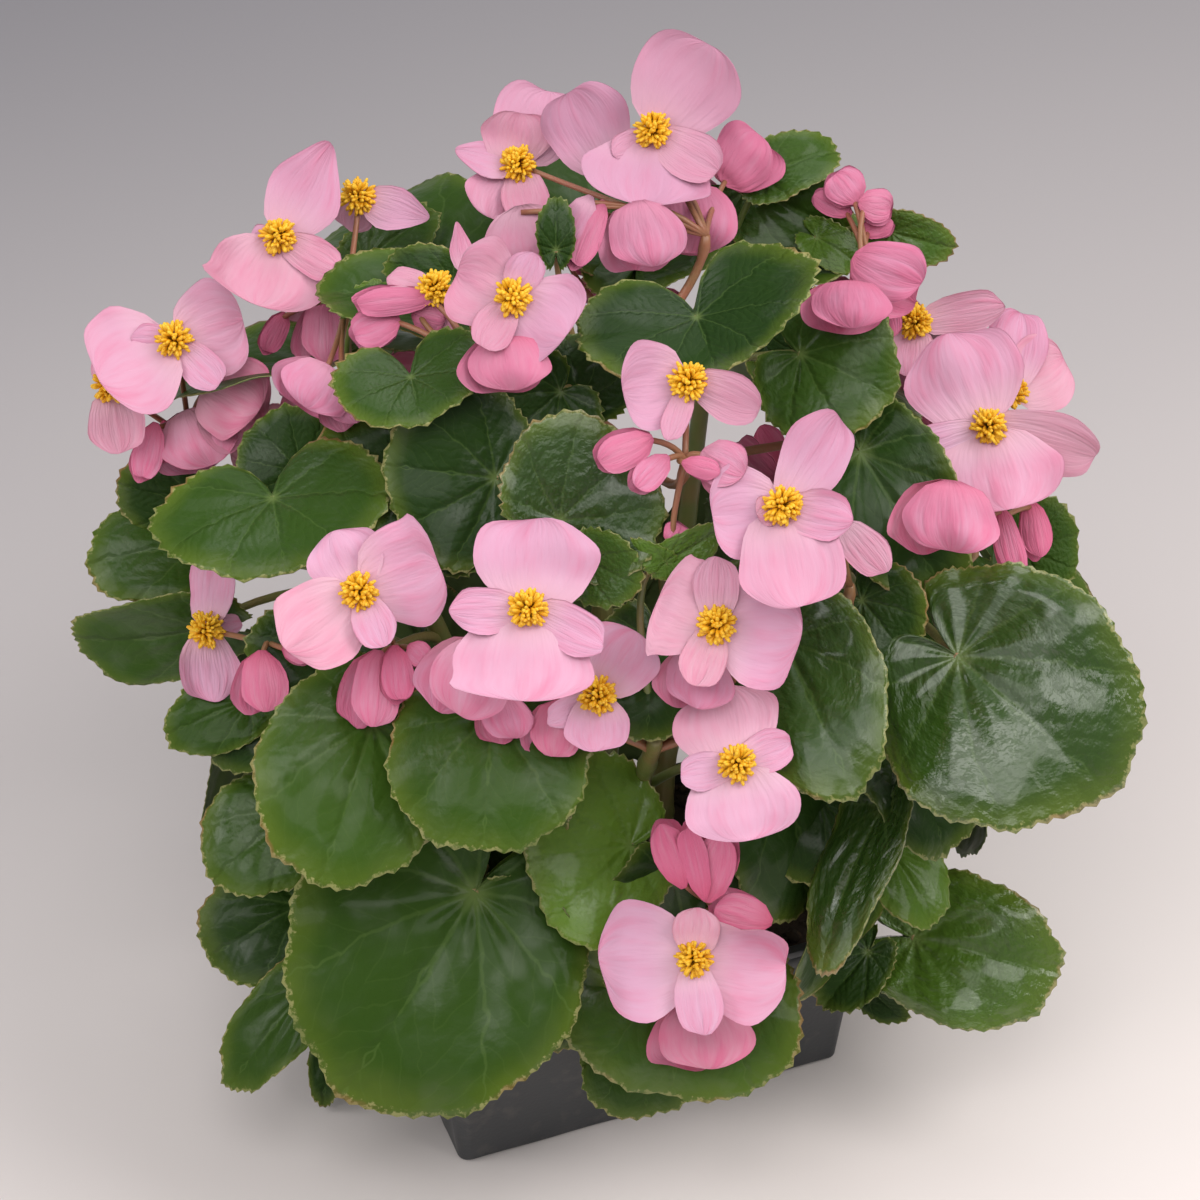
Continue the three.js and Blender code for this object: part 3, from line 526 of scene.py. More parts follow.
def aimed(spot, dx, dy, lean, roll):
    """Directions of a blade or tepal whose tip lies dx, dy from its foot as seen at the spot."""
    flat = spot.right * dx - spot.up * dy
    lean = math.radians(lean)
    length = np.linalg.norm(flat) * spot.scale / math.cos(lean)
    along = unit(flat) * math.cos(lean) + spot.out * math.sin(lean)
    side = turned(unit(np.cross(spot.out, along)), along, math.radians(roll))
    return Aim(along, side, np.cross(along, side), length)


def bezier(corners, count):
    """Points along a smooth curve that its corner points pull."""
    share = np.linspace(0, 1, count)[:, None]
    rows = [np.repeat(np.asarray(corner, float)[None], count, 0) for corner in corners]
    while len(rows) > 1:
        rows = [(1 - share) * a + share * b for a, b in zip(rows, rows[1:])]
    return rows[0]


def stem_corners(fx, fy, hx, hy, hz):
    """Foot, bend and head of a stem."""
    foot = np.array([fx, fy, STEM_START])
    head = np.array([hx, hy, hz], float)
    bend = foot + (head - foot) * 0.25
    bend[2] = foot[2] + (hz - foot[2]) * 0.55
    return foot, bend, head


def stem_places():
    """Places on the stems where a stalk may leave, each with the stem's direction there."""
    found = []
    for row in STEMS.values():
        foot, bend, head = stem_corners(*row)
        for share in np.arange(0.2, 0.93, 0.07):
            place = (1 - share) ** 2 * foot + 2 * share * (1 - share) * bend + share**2 * head
            found.append((place, unit((1 - share) * (bend - foot) + share * (head - bend))))
    return found


STEM_PLACES = stem_places()


def stalk_path(point, arrival, count):
    """A path that leaves the best stem upwards and comes to a point from a given side."""
    def cost(entry):
        missing = max(STALK_DROP - (point[2] - entry[0][2]), 0)
        return np.linalg.norm(entry[0] - point) + 1.2 * missing

    place, upward = min(STEM_PLACES, key=cost)
    reach = np.linalg.norm(place - point)
    return bezier([place, place + upward * 0.3 * reach, point - arrival * 0.35 * reach, point], count)


# Shapes

class Shape:
    """Points and faces gathered for one object. Each point has a spot on its part and a look."""

    def __init__(self):
        self.points, self.spots, self.looks, self.faces = [], [], [], []
        self.count = 0

    def add(self, points, spots, look, faces):
        """Look is one triple for all of the points, or a triple for each."""
        points = np.asarray(points, float).reshape(-1, 3)
        self.points.append(points)
        self.spots.append(np.broadcast_to(np.asarray(spots, float), points.shape))
        self.looks.append(np.broadcast_to(np.asarray(look, float), points.shape))
        self.faces.extend(tuple(int(i) + self.count for i in face) for face in faces)
        self.count += len(points)

    def build(self, name, material, slot, replaced=None):
        mesh = bpy.data.meshes.new(name)
        mesh.from_pydata(np.concatenate(self.points) * MM, [], self.faces)
        for label, values in (("spot", self.spots), ("look", self.looks)):
            attribute = mesh.attributes.new(label, "FLOAT_VECTOR", "POINT")
            attribute.data.foreach_set("vector", np.concatenate(values).ravel().astype(np.float32))
        mesh.polygons.foreach_set("use_smooth", [True] * len(mesh.polygons))
        mesh.materials.append(material)
        mesh.update()
        thing = bpy.data.objects.new(name, mesh)
        bpy.context.scene.collection.objects.link(thing)
        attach(thing, "root")
        if replaced:
            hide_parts(replaced)
        return thing


def ring_faces(rings, around_count):
    """Quads between closed rings of points, facing out when the rings run counter-clockwise."""
    faces = []
    for ring in range(rings - 1):
        low = ring * around_count
        high = low + around_count
        for i in range(around_count):
            j = (i + 1) % around_count
            faces.append((low + i, low + j, high + j, high + i))
    return faces


def loft(shape, rings, foot, head, spots, look):
    """A closed body through rings of points, with a point at each end."""
    count = len(rings[0])
    total = len(rings) * count
    faces = ring_faces(len(rings), count)
    top = total - count
    for i in range(count):
        j = (i + 1) % count
        faces.append((total, j, i))
        faces.append((top + i, top + j, total + 1))
    points = np.concatenate([*rings, [foot], [head]])
    shape.add(points, spots, look, faces)


def path_frames(path):
    """Two directions across the path at each of its points, without twist."""
    tangents = np.gradient(path, axis=0)
    tangents /= np.linalg.norm(tangents, axis=1)[:, None]
    start = np.array([1.0, 0, 0]) if abs(tangents[0][0]) < 0.9 else np.array([0, 1.0, 0])
    normals = [unit(start - tangents[0] * (start @ tangents[0]))]
    for tangent in tangents[1:]:
        normals.append(unit(normals[-1] - tangent * (normals[-1] @ tangent)))
    normals = np.array(normals)
    return normals, np.cross(tangents, normals)


def tube(shape, path, radii, sides, look):
    """A round stalk along a path."""
    radii = np.broadcast_to(np.asarray(radii, float), (len(path),))
    normals, binormals = path_frames(path)
    angle = np.arange(sides) * 2 * math.pi / sides
    circle = (
        np.cos(angle)[None, :, None] * normals[:, None, :]
        + np.sin(angle)[None, :, None] * binormals[:, None, :]
    )
    rings = path[:, None, :] + circle * radii[:, None, None]
    run = np.concatenate([[0], np.cumsum(np.linalg.norm(np.diff(path, axis=0), axis=1))])
    spots = np.stack([
        np.repeat(run, sides), np.tile(np.cos(angle), len(path)), np.tile(np.sin(angle), len(path)),
    ], 1)
    spots = np.concatenate([spots, [[0, 0, 0], [run[-1], 0, 0]]])
    loft(shape, list(rings), path[0], path[-1], spots, look)


def shell(shape, over, under, spots, look_over, look_under):
    """A thin closed sheet between two grids of points, rows by columns."""
    rows, columns = over.shape[:2]
    size = rows * columns
    faces = []
    for i in range(rows - 1):
        for j in range(columns - 1):
            a = i * columns + j
            quad = (a, a + columns, a + columns + 1, a + 1)
            faces.append(quad)
            faces.append(tuple(size + k for k in reversed(quad)))
    rim = [(0, j) for j in range(columns)]
    rim += [(i, columns - 1) for i in range(1, rows)]
    rim += [(rows - 1, j) for j in range(columns - 2, -1, -1)]
    rim += [(i, 0) for i in range(rows - 2, 0, -1)]
    edge = [i * columns + j for i, j in rim]
    for a, b in zip(edge, edge[1:] + edge[:1]):
        faces.append((b, a, size + a, size + b))
    points = np.concatenate([over.reshape(-1, 3), under.reshape(-1, 3)])
    looks = np.concatenate([np.repeat([look_over], size, 0), np.repeat([look_under], size, 0)])
    shape.add(points, np.concatenate([spots, spots]), looks, faces)


# Flowers

def tepal_half_width(share, corner, side, lop):
    """Half width of a round tepal at a share of its length, as a share of its whole width."""
    half = 0.66 * share ** (0.38 + lop * side) * np.sqrt(1 - share**3.5)
    if corner == POINTED:
        half = half * (1 - 0.6 * smooth(share, 0.35, 1))
    if corner == BOTH_SIDES or corner * side == 1:
        half = half + 0.1 * np.exp(-(((share - 0.84) / 0.09) ** 2))
    return half


def tepal_relief(s, v, flat, broad, length, width, waves, random):
    """Height of a tepal over its plane at shares of its length and half width."""
    phase, ripple, bowl = waves
    sag = TEPAL_SAG * length * s * (s - 1)
    cup = 4 * width * bowl * flat**2 * smooth(s, 0, 0.5)
    edge_wave = np.sin(8 * s + phase + 3 * flat) * smooth(s, 0.1, 0.5) * np.abs(v) ** 2.5 * broad
    tip_wave = np.sin(9 * flat + phase) * smooth(s, 0.4, 1)
    tip_bend = random.uniform(-0.12, 0.05) * width * smooth(s, 0.55, 1) ** 2
    relief = sag + cup + ripple * width * (EDGE_WAVE * edge_wave + TIP_WAVE * tip_wave) + tip_bend
    for crease in random.uniform(-0.8, 0.8, 3):
        sharp = np.exp(-(((v - crease) / CREASE_WIDTH) ** 2))
        relief = relief - random.uniform(*CREASE_DEPTH) * width * sharp * broad * smooth(s, 0.1, 0.6)
    return relief


def tepal(shape, foot, aim, width, tone, random, corner=0, curl=0.0, bulge=0.0):
    """One thin creased tepal. A bulge lifts its middle, as in a closed lobe seen from outside."""
    rows, columns = (16, 19) if width > SMALL_TEPAL else (10, 9)
    share = 1 - (1 - np.linspace(0, 1, rows)) ** 1.8
    share[0], share[-1] = 0.004, 0.9985
    across = np.sin(np.linspace(-1, 1, columns) * math.pi / 2)
    s, v = np.meshgrid(share, across, indexing="ij")
    lop = random.uniform(-0.08, 0.08)
    left = tepal_half_width(s, corner, 1, lop)
    right = tepal_half_width(s, corner, -1, lop)
    phase, ripple, bowl = random.uniform(0, 6.3), random.uniform(0.6, 1.4), random.uniform(-0.03, 0.1)
    edge = np.abs(v) ** 2.5
    broad = np.clip((left + right) / 0.9, 0, 1)
    reach = np.where(v > 0, left, right) * width * v
    reach = reach * (1 + 0.03 * ripple * np.sin(9 * s + phase + 2 * np.sign(v)) * edge)
    notch = 0.025 * ripple * np.sin(10 * reach / width + phase) * smooth(s, 0.6, 1)
    flat = reach / width
    lift = tepal_relief(s, v, flat, broad, aim.length, width, (phase, ripple, bowl), random)
    lift = lift + bulge * (1 - (2 * s - 1) ** 4) * (1 - 4 * flat**2)
    if curl:
        rolled = np.clip((v * np.sign(curl) - 0.3) / 0.7, 0, 1) ** 2 * smooth(s, 0.05, 0.5) * broad
        lift = lift + abs(curl) * width * 0.55 * rolled
        reach = reach - curl * width * 0.35 * rolled
    middle = aim.surface(foot, (s + notch) * aim.length, reach, lift)
    half = aim.face * (TEPAL_THICKNESS / 2 * (1 - 0.6 * np.maximum(edge, s**3)))[..., None]
    spots = np.stack([s.ravel(), v.ravel(), np.maximum(edge, s**4).ravel()], 1)
    seed = random.uniform(0, 10)
    outside = min(tone + BACK_DEPTH, 1.2)
    shell(shape, middle + half, middle - half, spots, (tone, 0, seed), (outside, 1, seed))


def anther(shape, start, direction, length, radius, random):
    """One club-shaped stamen whose long head bends aside a little."""
    neck = start + direction * length * 0.55
    head = unit(direction + random.normal(0, 0.38, 3)) * length * 0.5
    path = np.array([start, neck, neck + head * 0.2, neck + head * 0.75, neck + head])
    radii = radius * np.array([0.35, 0.45, 0.9, 1.0, 0.55])
    tube(shape, path, radii, 6, (random.uniform(0, 1), 0, 0))


def stamen_ball(shape, middle, facing, random):
    """A dome of stamens, evenly spread over most of a ball."""
    across = unit(np.cross(facing, [0.3, 0.2, 1.0]))
    beside = np.cross(facing, across)
    golden = math.pi * (3 - math.sqrt(5))
    for k in range(STAMENS_PER_FLOWER):
        height = 1 - 1.1 * (k + 0.5) / STAMENS_PER_FLOWER
        flat = math.sqrt(1 - height * height)
        angle = golden * k
        direction = unit(
            facing * height
            + (across * math.cos(angle) + beside * math.sin(angle)) * flat
            + random.normal(0, 0.07, 3)
        )
        length = STAMEN_RADIUS * random.uniform(*STAMEN_LENGTHS)
        anther(shape, middle, direction, length, random.uniform(*ANTHER_RADII), random)


def pedicel(shape, fork, control, end):
    """The thin stalk of one bloom or bud."""
    path = bezier([fork, control, end], 8)
    radii = PEDICEL_RADIUS * np.linspace(1.15, 1.0, len(path))
    tube(shape, path, radii, 7, (PEDICEL_RED, 0, 0))


def flower(parts, place, x, y, inset, tepals, fork, random):
    """Tepals spread from one foot, a dome of stamens on it and a pedicel to the fork."""
    petals, stamens, stalks = parts
    spot = place(x, y, inset)
    faces = np.zeros(3)
    for tip_x, tip_y, width, lean, roll, *edge in tepals:
        aim = aimed(spot, tip_x - x, tip_y - y, lean, roll)
        layer = spot.out * (0.5 if width < LOW_TEPAL else 0)
        tepal(petals, spot.point + layer, aim, width, random.uniform(0, 0.24), random, *edge)
        faces = faces + aim.face * width
    facing = unit(spot.out + 0.6 * unit(faces))
    stamen_ball(stamens, spot.point + facing * 1.6, facing, random)
    bend = 0.6 * spot.point + 0.4 * fork - 6 * spot.out
    pedicel(stalks, fork, bend, spot.point + spot.out * 0.5)


def bud(parts, place, row, fork, random):
    """Two lobes face to face, parted a little when they are wide, or one open pale tepal."""
    petals, _, stalks = parts
    x, y, tip_x, tip_y, width, lean, roll, inset, *given = row
    spot = place(x, y, inset)
    aim = aimed(spot, tip_x - x, tip_y - y, lean, roll)
    open_wide = width > WIDE_BUD
    tone = given[0] if given else random.uniform(0.45, 0.7) if open_wide else random.uniform(0.6, 0.9)
    bend = 0.6 * spot.point + 0.4 * fork - 3 * aim.along
    pedicel(stalks, fork, bend, spot.point + aim.along * 2)
    if tone < SINGLE_TEPAL:
        tepal(petals, spot.point, aim, width, tone, random, *given[1:])
        return
    part = 9 if open_wide else 2
    front = aimed(spot, tip_x - x, tip_y - y, lean + part, roll + part)
    back = aimed(spot, tip_x - x, tip_y - y, lean - part, roll - part)
    sway = 0.12 if open_wide else 0.02
    front = front._replace(length=front.length * 0.94, along=unit(front.along + front.side * sway))
    back = back._replace(along=unit(back.along - back.side * sway))
    plump = LOBE_PLUMPNESS * width
    tepal(petals, spot.point + aim.face * 0.3, front, width * 0.96, tone, random, bulge=plump)
    tepal(petals, spot.point - aim.face * 0.3, back, width, tone, random, bulge=-plump)


def cluster(name, row, place, random):
    """Blooms and buds on pedicels from one fork, on a stalk from the nearest stem."""
    petals, stamens, stalks = parts = Shape(), Shape(), Shape()
    fork = place(*row["fork"]).point
    path = stalk_path(fork, np.array([0, 0, 1.0]), 18)
    radii = PEDUNCLE_RADIUS * np.linspace(1.15, 0.9, len(path))
    radii[-2:] = [1.7, 1.2]
    tube(stalks, path, radii, 9, (PEDUNCLE_RED, 0, 0))
    for x, y, inset, *tepals in row["flowers"]:
        flower(parts, place, x, y, inset, tepals, fork, random)
    for entry in row["buds"]:
        bud(parts, place, entry, fork, random)
    petals.build(name + "_petals", petal_material, "petal", name)
    stamens.build(name + "_stamens", stamen_material, "stamen")
    stalks.build(name + "_stalks", stalk_material, "stem")


def far_spray(angle, deeper):
    """The far side's spray, turned in its own plane and set this much deeper."""
    def turn(x, y):
        return x * math.cos(angle) - y * math.sin(angle), x * math.sin(angle) + y * math.cos(angle)

    x, y, inset = FAR_SPRAY["fork"]
    return {
        "fork": [*turn(x, y), inset + deeper],
        "flowers": [
            [*turn(x, y), inset + deeper, *([*turn(tx, ty), *rest] for tx, ty, *rest in tepals)]
            for x, y, inset, *tepals in FAR_SPRAY["flowers"]
        ],
        "buds": [
            [*turn(x, y), *turn(tx, ty), width, lean, roll, inset + deeper]
            for x, y, tx, ty, width, lean, roll, inset in FAR_SPRAY["buds"]
        ],
    }


# Leaves

def leaf_edge(angle, seat):
    """Distance from the junction to the edge of a leaf of unit length and width, notched at its base."""
    circle = seat * np.cos(angle) + np.sqrt(1 - (seat * np.sin(angle)) ** 2)
    from_base = math.pi - np.abs(angle)
    notch = 1 - 0.86 * np.exp(-((from_base / 0.3) ** 2))
    return circle * notch / (1 + seat)


def blade_rise(x, y, fold):
    """Height of the blade above the plane through its junction and tip, in leaf lengths."""
    arch = LEAF_ARCH * np.maximum(x, 0) * (1 - x)
    lobes = LOBE_RISE * np.minimum(x, 0) ** 2
    return fold * np.abs(y) ** 1.3 + arch + lobes


def leaf_outline(angle, seat, phases):
    """The notched outline, made a little uneven by waves of several lengths."""
    uneven = 1
    for height, waves, phase in ((0.024, 3, 0), (0.016, 5, 1), (0.012, 11, 4), (0.008, 19, 5)):
        uneven = uneven + height * np.sin(waves * angle + phases[phase])
    return leaf_edge(angle, seat) * uneven


def blade_relief(x, y, s, a, reach, fold, phases, random):
    """Height of the blade over its plane, raised between sunken veins and wavy to the rim."""
    vein = np.abs(a) + VEIN_BEND * reach * np.sin(np.abs(a))
    between = (1 - np.cos(2 * math.pi * vein / VEIN_STEP)) / 2
    relief = blade_rise(x, y, fold) + QUILT_RISE * between * 4 * s * (1.05 - s)
    relief = relief + RIM_WAVE * s**2 * np.sin(3 * a + phases[2])
    relief = relief + RIM_RIPPLE * s**4 * np.sin(8 * a + phases[3])
    return relief - RIM_DROOP * smooth(s, 0.7, 1) ** 2 * random.uniform(0.0, 1.0)


def leaf_blade(shape, junction, aim, width, fold, seat, look, random):
    """A thin round blade with a finely toothed edge, faintly sunken main veins and a wavy rim."""
    wide = width * (1 + seat) / (2 * aim.length)
    teeth = int(np.clip(aim.length * 1.1 + 12, 24, 84))
    spokes = 2 * teeth
    rings = 11
    angle = -math.pi + 2 * math.pi * (np.arange(spokes) + 0.5) / spokes
    phases = random.uniform(0, 6.3, 6)
    tooth = np.stack([random.uniform(-0.3, 0.1, teeth), random.uniform(0.3, 1.1, teeth)], 1).ravel()
    share = 1 - (1 - np.arange(1, rings + 1) / rings) ** 1.35
    s, a = np.meshgrid(share, angle, indexing="ij")
    reach = leaf_outline(angle, seat, phases) * s + tooth * TOOTH / aim.length * smooth(s, 0.93, 1)
    x = reach * np.cos(a)
    y = reach * np.sin(a) * wide
    relief = blade_relief(x, y, s, a, reach, fold, phases, random)
    middle = aim.surface(junction, x * aim.length, y * aim.length, relief * aim.length)
    half = aim.face * (LEAF_THICKNESS / 2 * (1 - 0.6 * s**2))[..., None]
    lift = aim.face * LEAF_THICKNESS / 2
    spots = np.stack([x, y, s], -1)
    spots = np.concatenate([spots.reshape(-1, 3), spots[::-1].reshape(-1, 3), np.zeros((2, 3))])
    under_first = np.repeat([1, 0], rings * spokes)
    looks = [(*look, under) for under in (*under_first, 1, 0)]
    loops = [*(middle - half), *(middle + half)[::-1]]
    loft(shape, loops, junction - lift, junction + lift, spots, looks)


def leaf(name, spot, dx, dy, width, form, look, random, replaced=None):
    """One leaf. Its form is lean, roll, fold and, where given, the seat of its junction."""
    lean, roll, fold, seat = [*form, SEAT][:4]
    aim = aimed(spot, dx, dy, lean, roll)
    blade, stalk = Shape(), Shape()
    leaf_blade(blade, spot.point, aim, width, fold, seat, look, random)
    blade.build(name + "_blade", leaf_material, "leaf", replaced)
    arrival = unit(aim.face * 0.8 + aim.along * 0.5)
    path = stalk_path(spot.point, arrival, 14)
    size = PETIOLE_RADIUS * (0.55 + 0.45 * min(aim.length / 60, 1.1))
    radii = size * np.linspace(1.2, 0.9, len(path))
    tube(stalk, path, radii, 9, (random.uniform(*PETIOLE_RED), 0, 0))
    stalk.build(name + "_petiole", stalk_material, "stem")


def leaves(seed):
    """All of the leaves, in view, on the far side, inside and on the crown."""
    random = np.random.default_rng(seed)
    for table in (LEAVES, SMALL_LEAVES):
        for name, (x, y, tip_x, tip_y, width, inset, *form) in table.items():
            # Half-hidden small leaves default to the darker tone, painted shade.
            look = LEAF_LOOKS.get(name, MIDDLING if table is LEAVES else SHADE_DARKENED)
            replaced = name if table is LEAVES else None
            leaf(name, seen(x, y, inset), tip_x - x, tip_y - y, width, form, look, random, replaced)
    for family, rows in DOME_LEAVES.items():
        for number, (azimuth, height, inset, turn, length, width, *form) in enumerate(rows, 1):
            name = f"{family}_{number}"
            shown = length * math.cos(math.radians(form[0]))
            dx = shown * math.sin(math.radians(turn))
            dy = shown * math.cos(math.radians(turn))
            spot = around(azimuth, height)(0, 0, inset)
            # The inner leaves take the darker tone, painted shade.
            look = SHADE_DARKENED if family == "inner" else MIDDLING
            replaced = name if family.startswith("leaf") else None
            leaf(name, spot, dx, dy, width, form, look, random, replaced)


# Stems, soil and pot

def stems(seed):
    """Fleshy stems with a swollen joint every so often, sunk a little into the soil."""
    random = np.random.default_rng(seed)
    for name, row in STEMS.items():
        path = bezier(stem_corners(*row), 64)
        path[0] -= [0, 0, 4]
        run = np.concatenate([[0], np.cumsum(np.linalg.norm(np.diff(path, axis=0), axis=1))])
        radii = np.interp(run, [0, run[-1]], [STEM_FOOT_RADIUS, STEM_HEAD_RADIUS])
        for joint in np.arange(16, run[-1], 23) + random.uniform(-3, 3):
            radii = radii * (1 + 0.16 * np.exp(-(((run - joint) / 2.4) ** 2)))
        radii[-3:] *= [0.95, 0.8, 0.5]
        shape = Shape()
        tube(shape, path, radii, 16, (STEM_RED, 0, 0))
        shape.build(name + "_flesh", stalk_material, "stem", name)


def rounded_outline(half_length, half_width, corner, height):
    """Points of a rounded rectangle, counter-clockwise from above, and their outward directions."""
    straight_x, straight_y, bends = 44, 26, 10
    corners = [(1, 1), (-1, 1), (-1, -1), (1, -1)]
    points, normals = [], []
    for quarter, (sx, sy) in enumerate(corners):
        middle = np.array([sx * (half_length - corner), sy * (half_width - corner)])
        for i in range(bends):
            angle = math.pi / 2 * (quarter + i / (bends - 1))
            direction = np.array([math.cos(angle), math.sin(angle)])
            points.append(middle + corner * direction)
            normals.append(direction)
        next_sx, next_sy = corners[(quarter + 1) % 4]
        end = np.array([next_sx * (half_length - corner), next_sy * (half_width - corner)])
        end = end + corner * direction
        steps = straight_x if sy == next_sy else straight_y
        start = points[-1]
        for i in range(1, steps):
            points.append(start + (end - start) * i / steps)
            normals.append(direction)
    flat = np.array(points)
    return np.column_stack([flat, np.full(len(flat), height)]), np.array(normals)


def pot_ring(height, offset, rib=0.0):
    """A ring round the pot at a height, set out from its tapered wall and sunk between the ribs."""
    slope = (POT_HEIGHT - height) * math.tan(POT_TAPER)
    ring, normals = rounded_outline(
        POT_LENGTH / 2 - slope + offset,
        POT_WIDTH / 2 - slope + offset,
        POT_CORNER - slope / 2 + offset,
        height,
    )
    ribs = 0.5 - 0.5 * np.cos(np.arange(len(ring)) * 2 * math.pi / RIB_POINTS)
    ring[:, :2] -= normals * (ribs * rib)[:, None]
    return ring


def pot():
    """The thin tapered pot, with a turned-out rim, faint upright ribs and an uneven lower edge."""
    below = POT_HEIGHT - RIM_HEIGHT
    rings = [pot_ring(0.0, -1.2), pot_ring(0.5, -0.25)]
    wave = np.arange(len(rings[0])) * 2 * math.pi
    for ring in rings:
        ring[:, 2] += FOOT_WAVE * (1 + np.sin(wave / 19) * np.cos(wave / 47))
    rings += [pot_ring(height, 0, rib=RIB_DEPTH) for height in np.linspace(2.0, below - 4, 9)]
    inside = -RIM_WIDTH - POT_WALL
    # Height and offset, from under the rim up over it and down inside to the pot's floor
    profile = [
        (below - 2.5, -0.3), (below - 0.4, -RIM_WIDTH + 0.5), (below, -RIM_WIDTH), (below, -0.5),
        (below + 0.4, -0.1), (POT_HEIGHT - 0.8, 0), (POT_HEIGHT - 0.2, -0.3), (POT_HEIGHT, -0.8),
        (POT_HEIGHT, inside + 0.6), (POT_HEIGHT - 0.6, inside), (POT_WALL, -POT_WALL - 1.0),
    ]
    rings += [pot_ring(height, offset) for height, offset in profile]
    shape = Shape()
    foot = np.array([0, 0, FOOT_WAVE])
    head = np.array([0, 0, POT_WALL])
    loft(shape, rings, foot, head, np.zeros(3), (0, 0, 0))
    body = shape.build("pot_shell", pot_material, "pot_plastic", "pot")
    plugs = Shape()
    for x, y in DRAIN_PLACES:
        tube(plugs, np.array([[x, y, -3.0], [x, y, 5.0]]), DRAIN_RADIUS, 24, (0, 0, 0))
    cut = plugs.build("pot_drains", pot_material, "pot_plastic")
    modifier = body.modifiers.new("drains", "BOOLEAN")
    modifier.object = cut
    modifier.solver = "EXACT"
    bpy.context.view_layer.update()
    evaluated = body.evaluated_get(bpy.context.evaluated_depsgraph_get())
    cut_mesh = bpy.data.meshes.new_from_object(evaluated)
    body.modifiers.clear()
    body.data = cut_mesh
    bpy.data.objects.remove(cut)
    body.data.shade_smooth()
    body.data.set_sharp_from_angle(angle=math.radians(38))


def lump(shape, middle, radius, look, random):
    """One rough crumb."""
    sides, rings = 7, 4
    loops = []
    for i in range(1, rings):
        tilt = math.pi * i / rings
        angle = np.arange(sides) * 2 * math.pi / sides
        size = radius * random.uniform(0.7, 1.2, sides)
        loops.append(middle + np.stack([
            size * math.sin(tilt) * np.cos(angle),
            size * math.sin(tilt) * np.sin(angle),
            -0.75 * size * math.cos(tilt),
        ], 1))
    drop = np.array([0, 0, 0.7 * radius])
    loft(shape, loops, middle - drop, middle + drop, np.zeros(3), look)


def soil_bed(brim, random):
    """A shallow rough mound that fills the pot up to the brim."""
    inside = -POT_WALL - 0.3
    rings = [pot_ring(soil_low[2], inside - 0.2), pot_ring(SOIL_TOP - 3, inside - RIM_WIDTH)]
    middle = np.array([0, 0, SOIL_TOP])
    bumps = random.uniform(0, 6.3, 6)
    for share in np.linspace(0, 0.96, 22):
        ring = brim + (middle - brim) * share
        x, y = ring[:, 0], ring[:, 1]
        rough = np.sin(x / 5.1 + bumps[0]) * np.sin(y / 4.3 + bumps[1])
        rough = rough + 0.6 * np.sin(x / 2.3 + y / 3.1 + bumps[2]) * np.sin(y / 1.9 - x / 4.7 + bumps[3])
        ring[:, 2] = SOIL_TOP - 0.6 + (SOIL_MOUND - 0.4) * smooth(share, 0, 0.5) + 0.55 * rough
        rings.append(ring)
    shape = Shape()
    foot = np.array([0, 0, soil_low[2]])
    head = np.array([0, 0, SOIL_TOP + SOIL_MOUND - 0.6])
    loft(shape, rings, foot, head, np.zeros(3), (0.2, 0, 0))
    shape.build("soil_bed", soil_material, "soil", "soil")


def soil_crumbs(brim, random):
    """Crumbs, pale grains and fibres strewn on the mound."""
    crumbs = Shape()
    room_x = brim[:, 0].max() - 3
    room_y = brim[:, 1].max() - 3
    for k in range(CRUMBS):
        place = np.array([random.uniform(-room_x, room_x), random.uniform(-room_y, room_y), 0])
        corner = abs(place[0]) / room_x + abs(place[1]) / room_y
        if corner > 1.75:
            continue
        radius = random.uniform(0.5, 1.5) if k % 9 else random.uniform(1.6, 2.6)
        place[2] = SOIL_TOP + SOIL_MOUND * 0.45 + random.uniform(-0.4, 0.6)
        tone = 1.0 if k % 23 == 0 else random.uniform(0, 0.5)
        lump(crumbs, place, radius * (0.7 if tone == 1 else 1), (tone, 0, 0), random)
    for _ in range(FIBRES):
        start = np.array([random.uniform(-room_x, room_x), random.uniform(-room_y, room_y), SOIL_TOP + 2.0])
        start[:2] *= 0.85
        step = np.append(random.normal(0, 4, 2), random.uniform(0, 0.8))
        bend = start + step + random.normal(0, 1, 3) * [1, 1, 0.3]
        tube(crumbs, bezier([start, bend, start + 1.7 * step], 6), 0.22, 4, (0.75, 0, 0))
    crumbs.build("soil_crumbs", soil_material, "soil")


def soil(seed):
    """The peat that fills the pot."""
    random = np.random.default_rng(seed)
    brim = pot_ring(SOIL_TOP, -POT_WALL - RIM_WIDTH - 0.5)
    soil_bed(brim, random)
    soil_crumbs(brim, random)


# Materials

class Value:
    """A number, colour or direction that a material works out at each point, open to arithmetic."""

    def __init__(self, look, socket):
        self.look, self.socket = look, socket

    def __add__(self, other):
        return self.look.math("ADD", self, other)

    def __sub__(self, other):
        return self.look.math("SUBTRACT", self, other)

    def __rsub__(self, other):
        return self.look.math("SUBTRACT", other, self)

    def __mul__(self, other):
        return self.look.math("MULTIPLY", self, other)

    def __truediv__(self, other):
        return self.look.math("DIVIDE", self, other)

    def __pow__(self, other):
        return self.look.math("POWER", self, other)

    __radd__ = __add__
    __rmul__ = __mul__


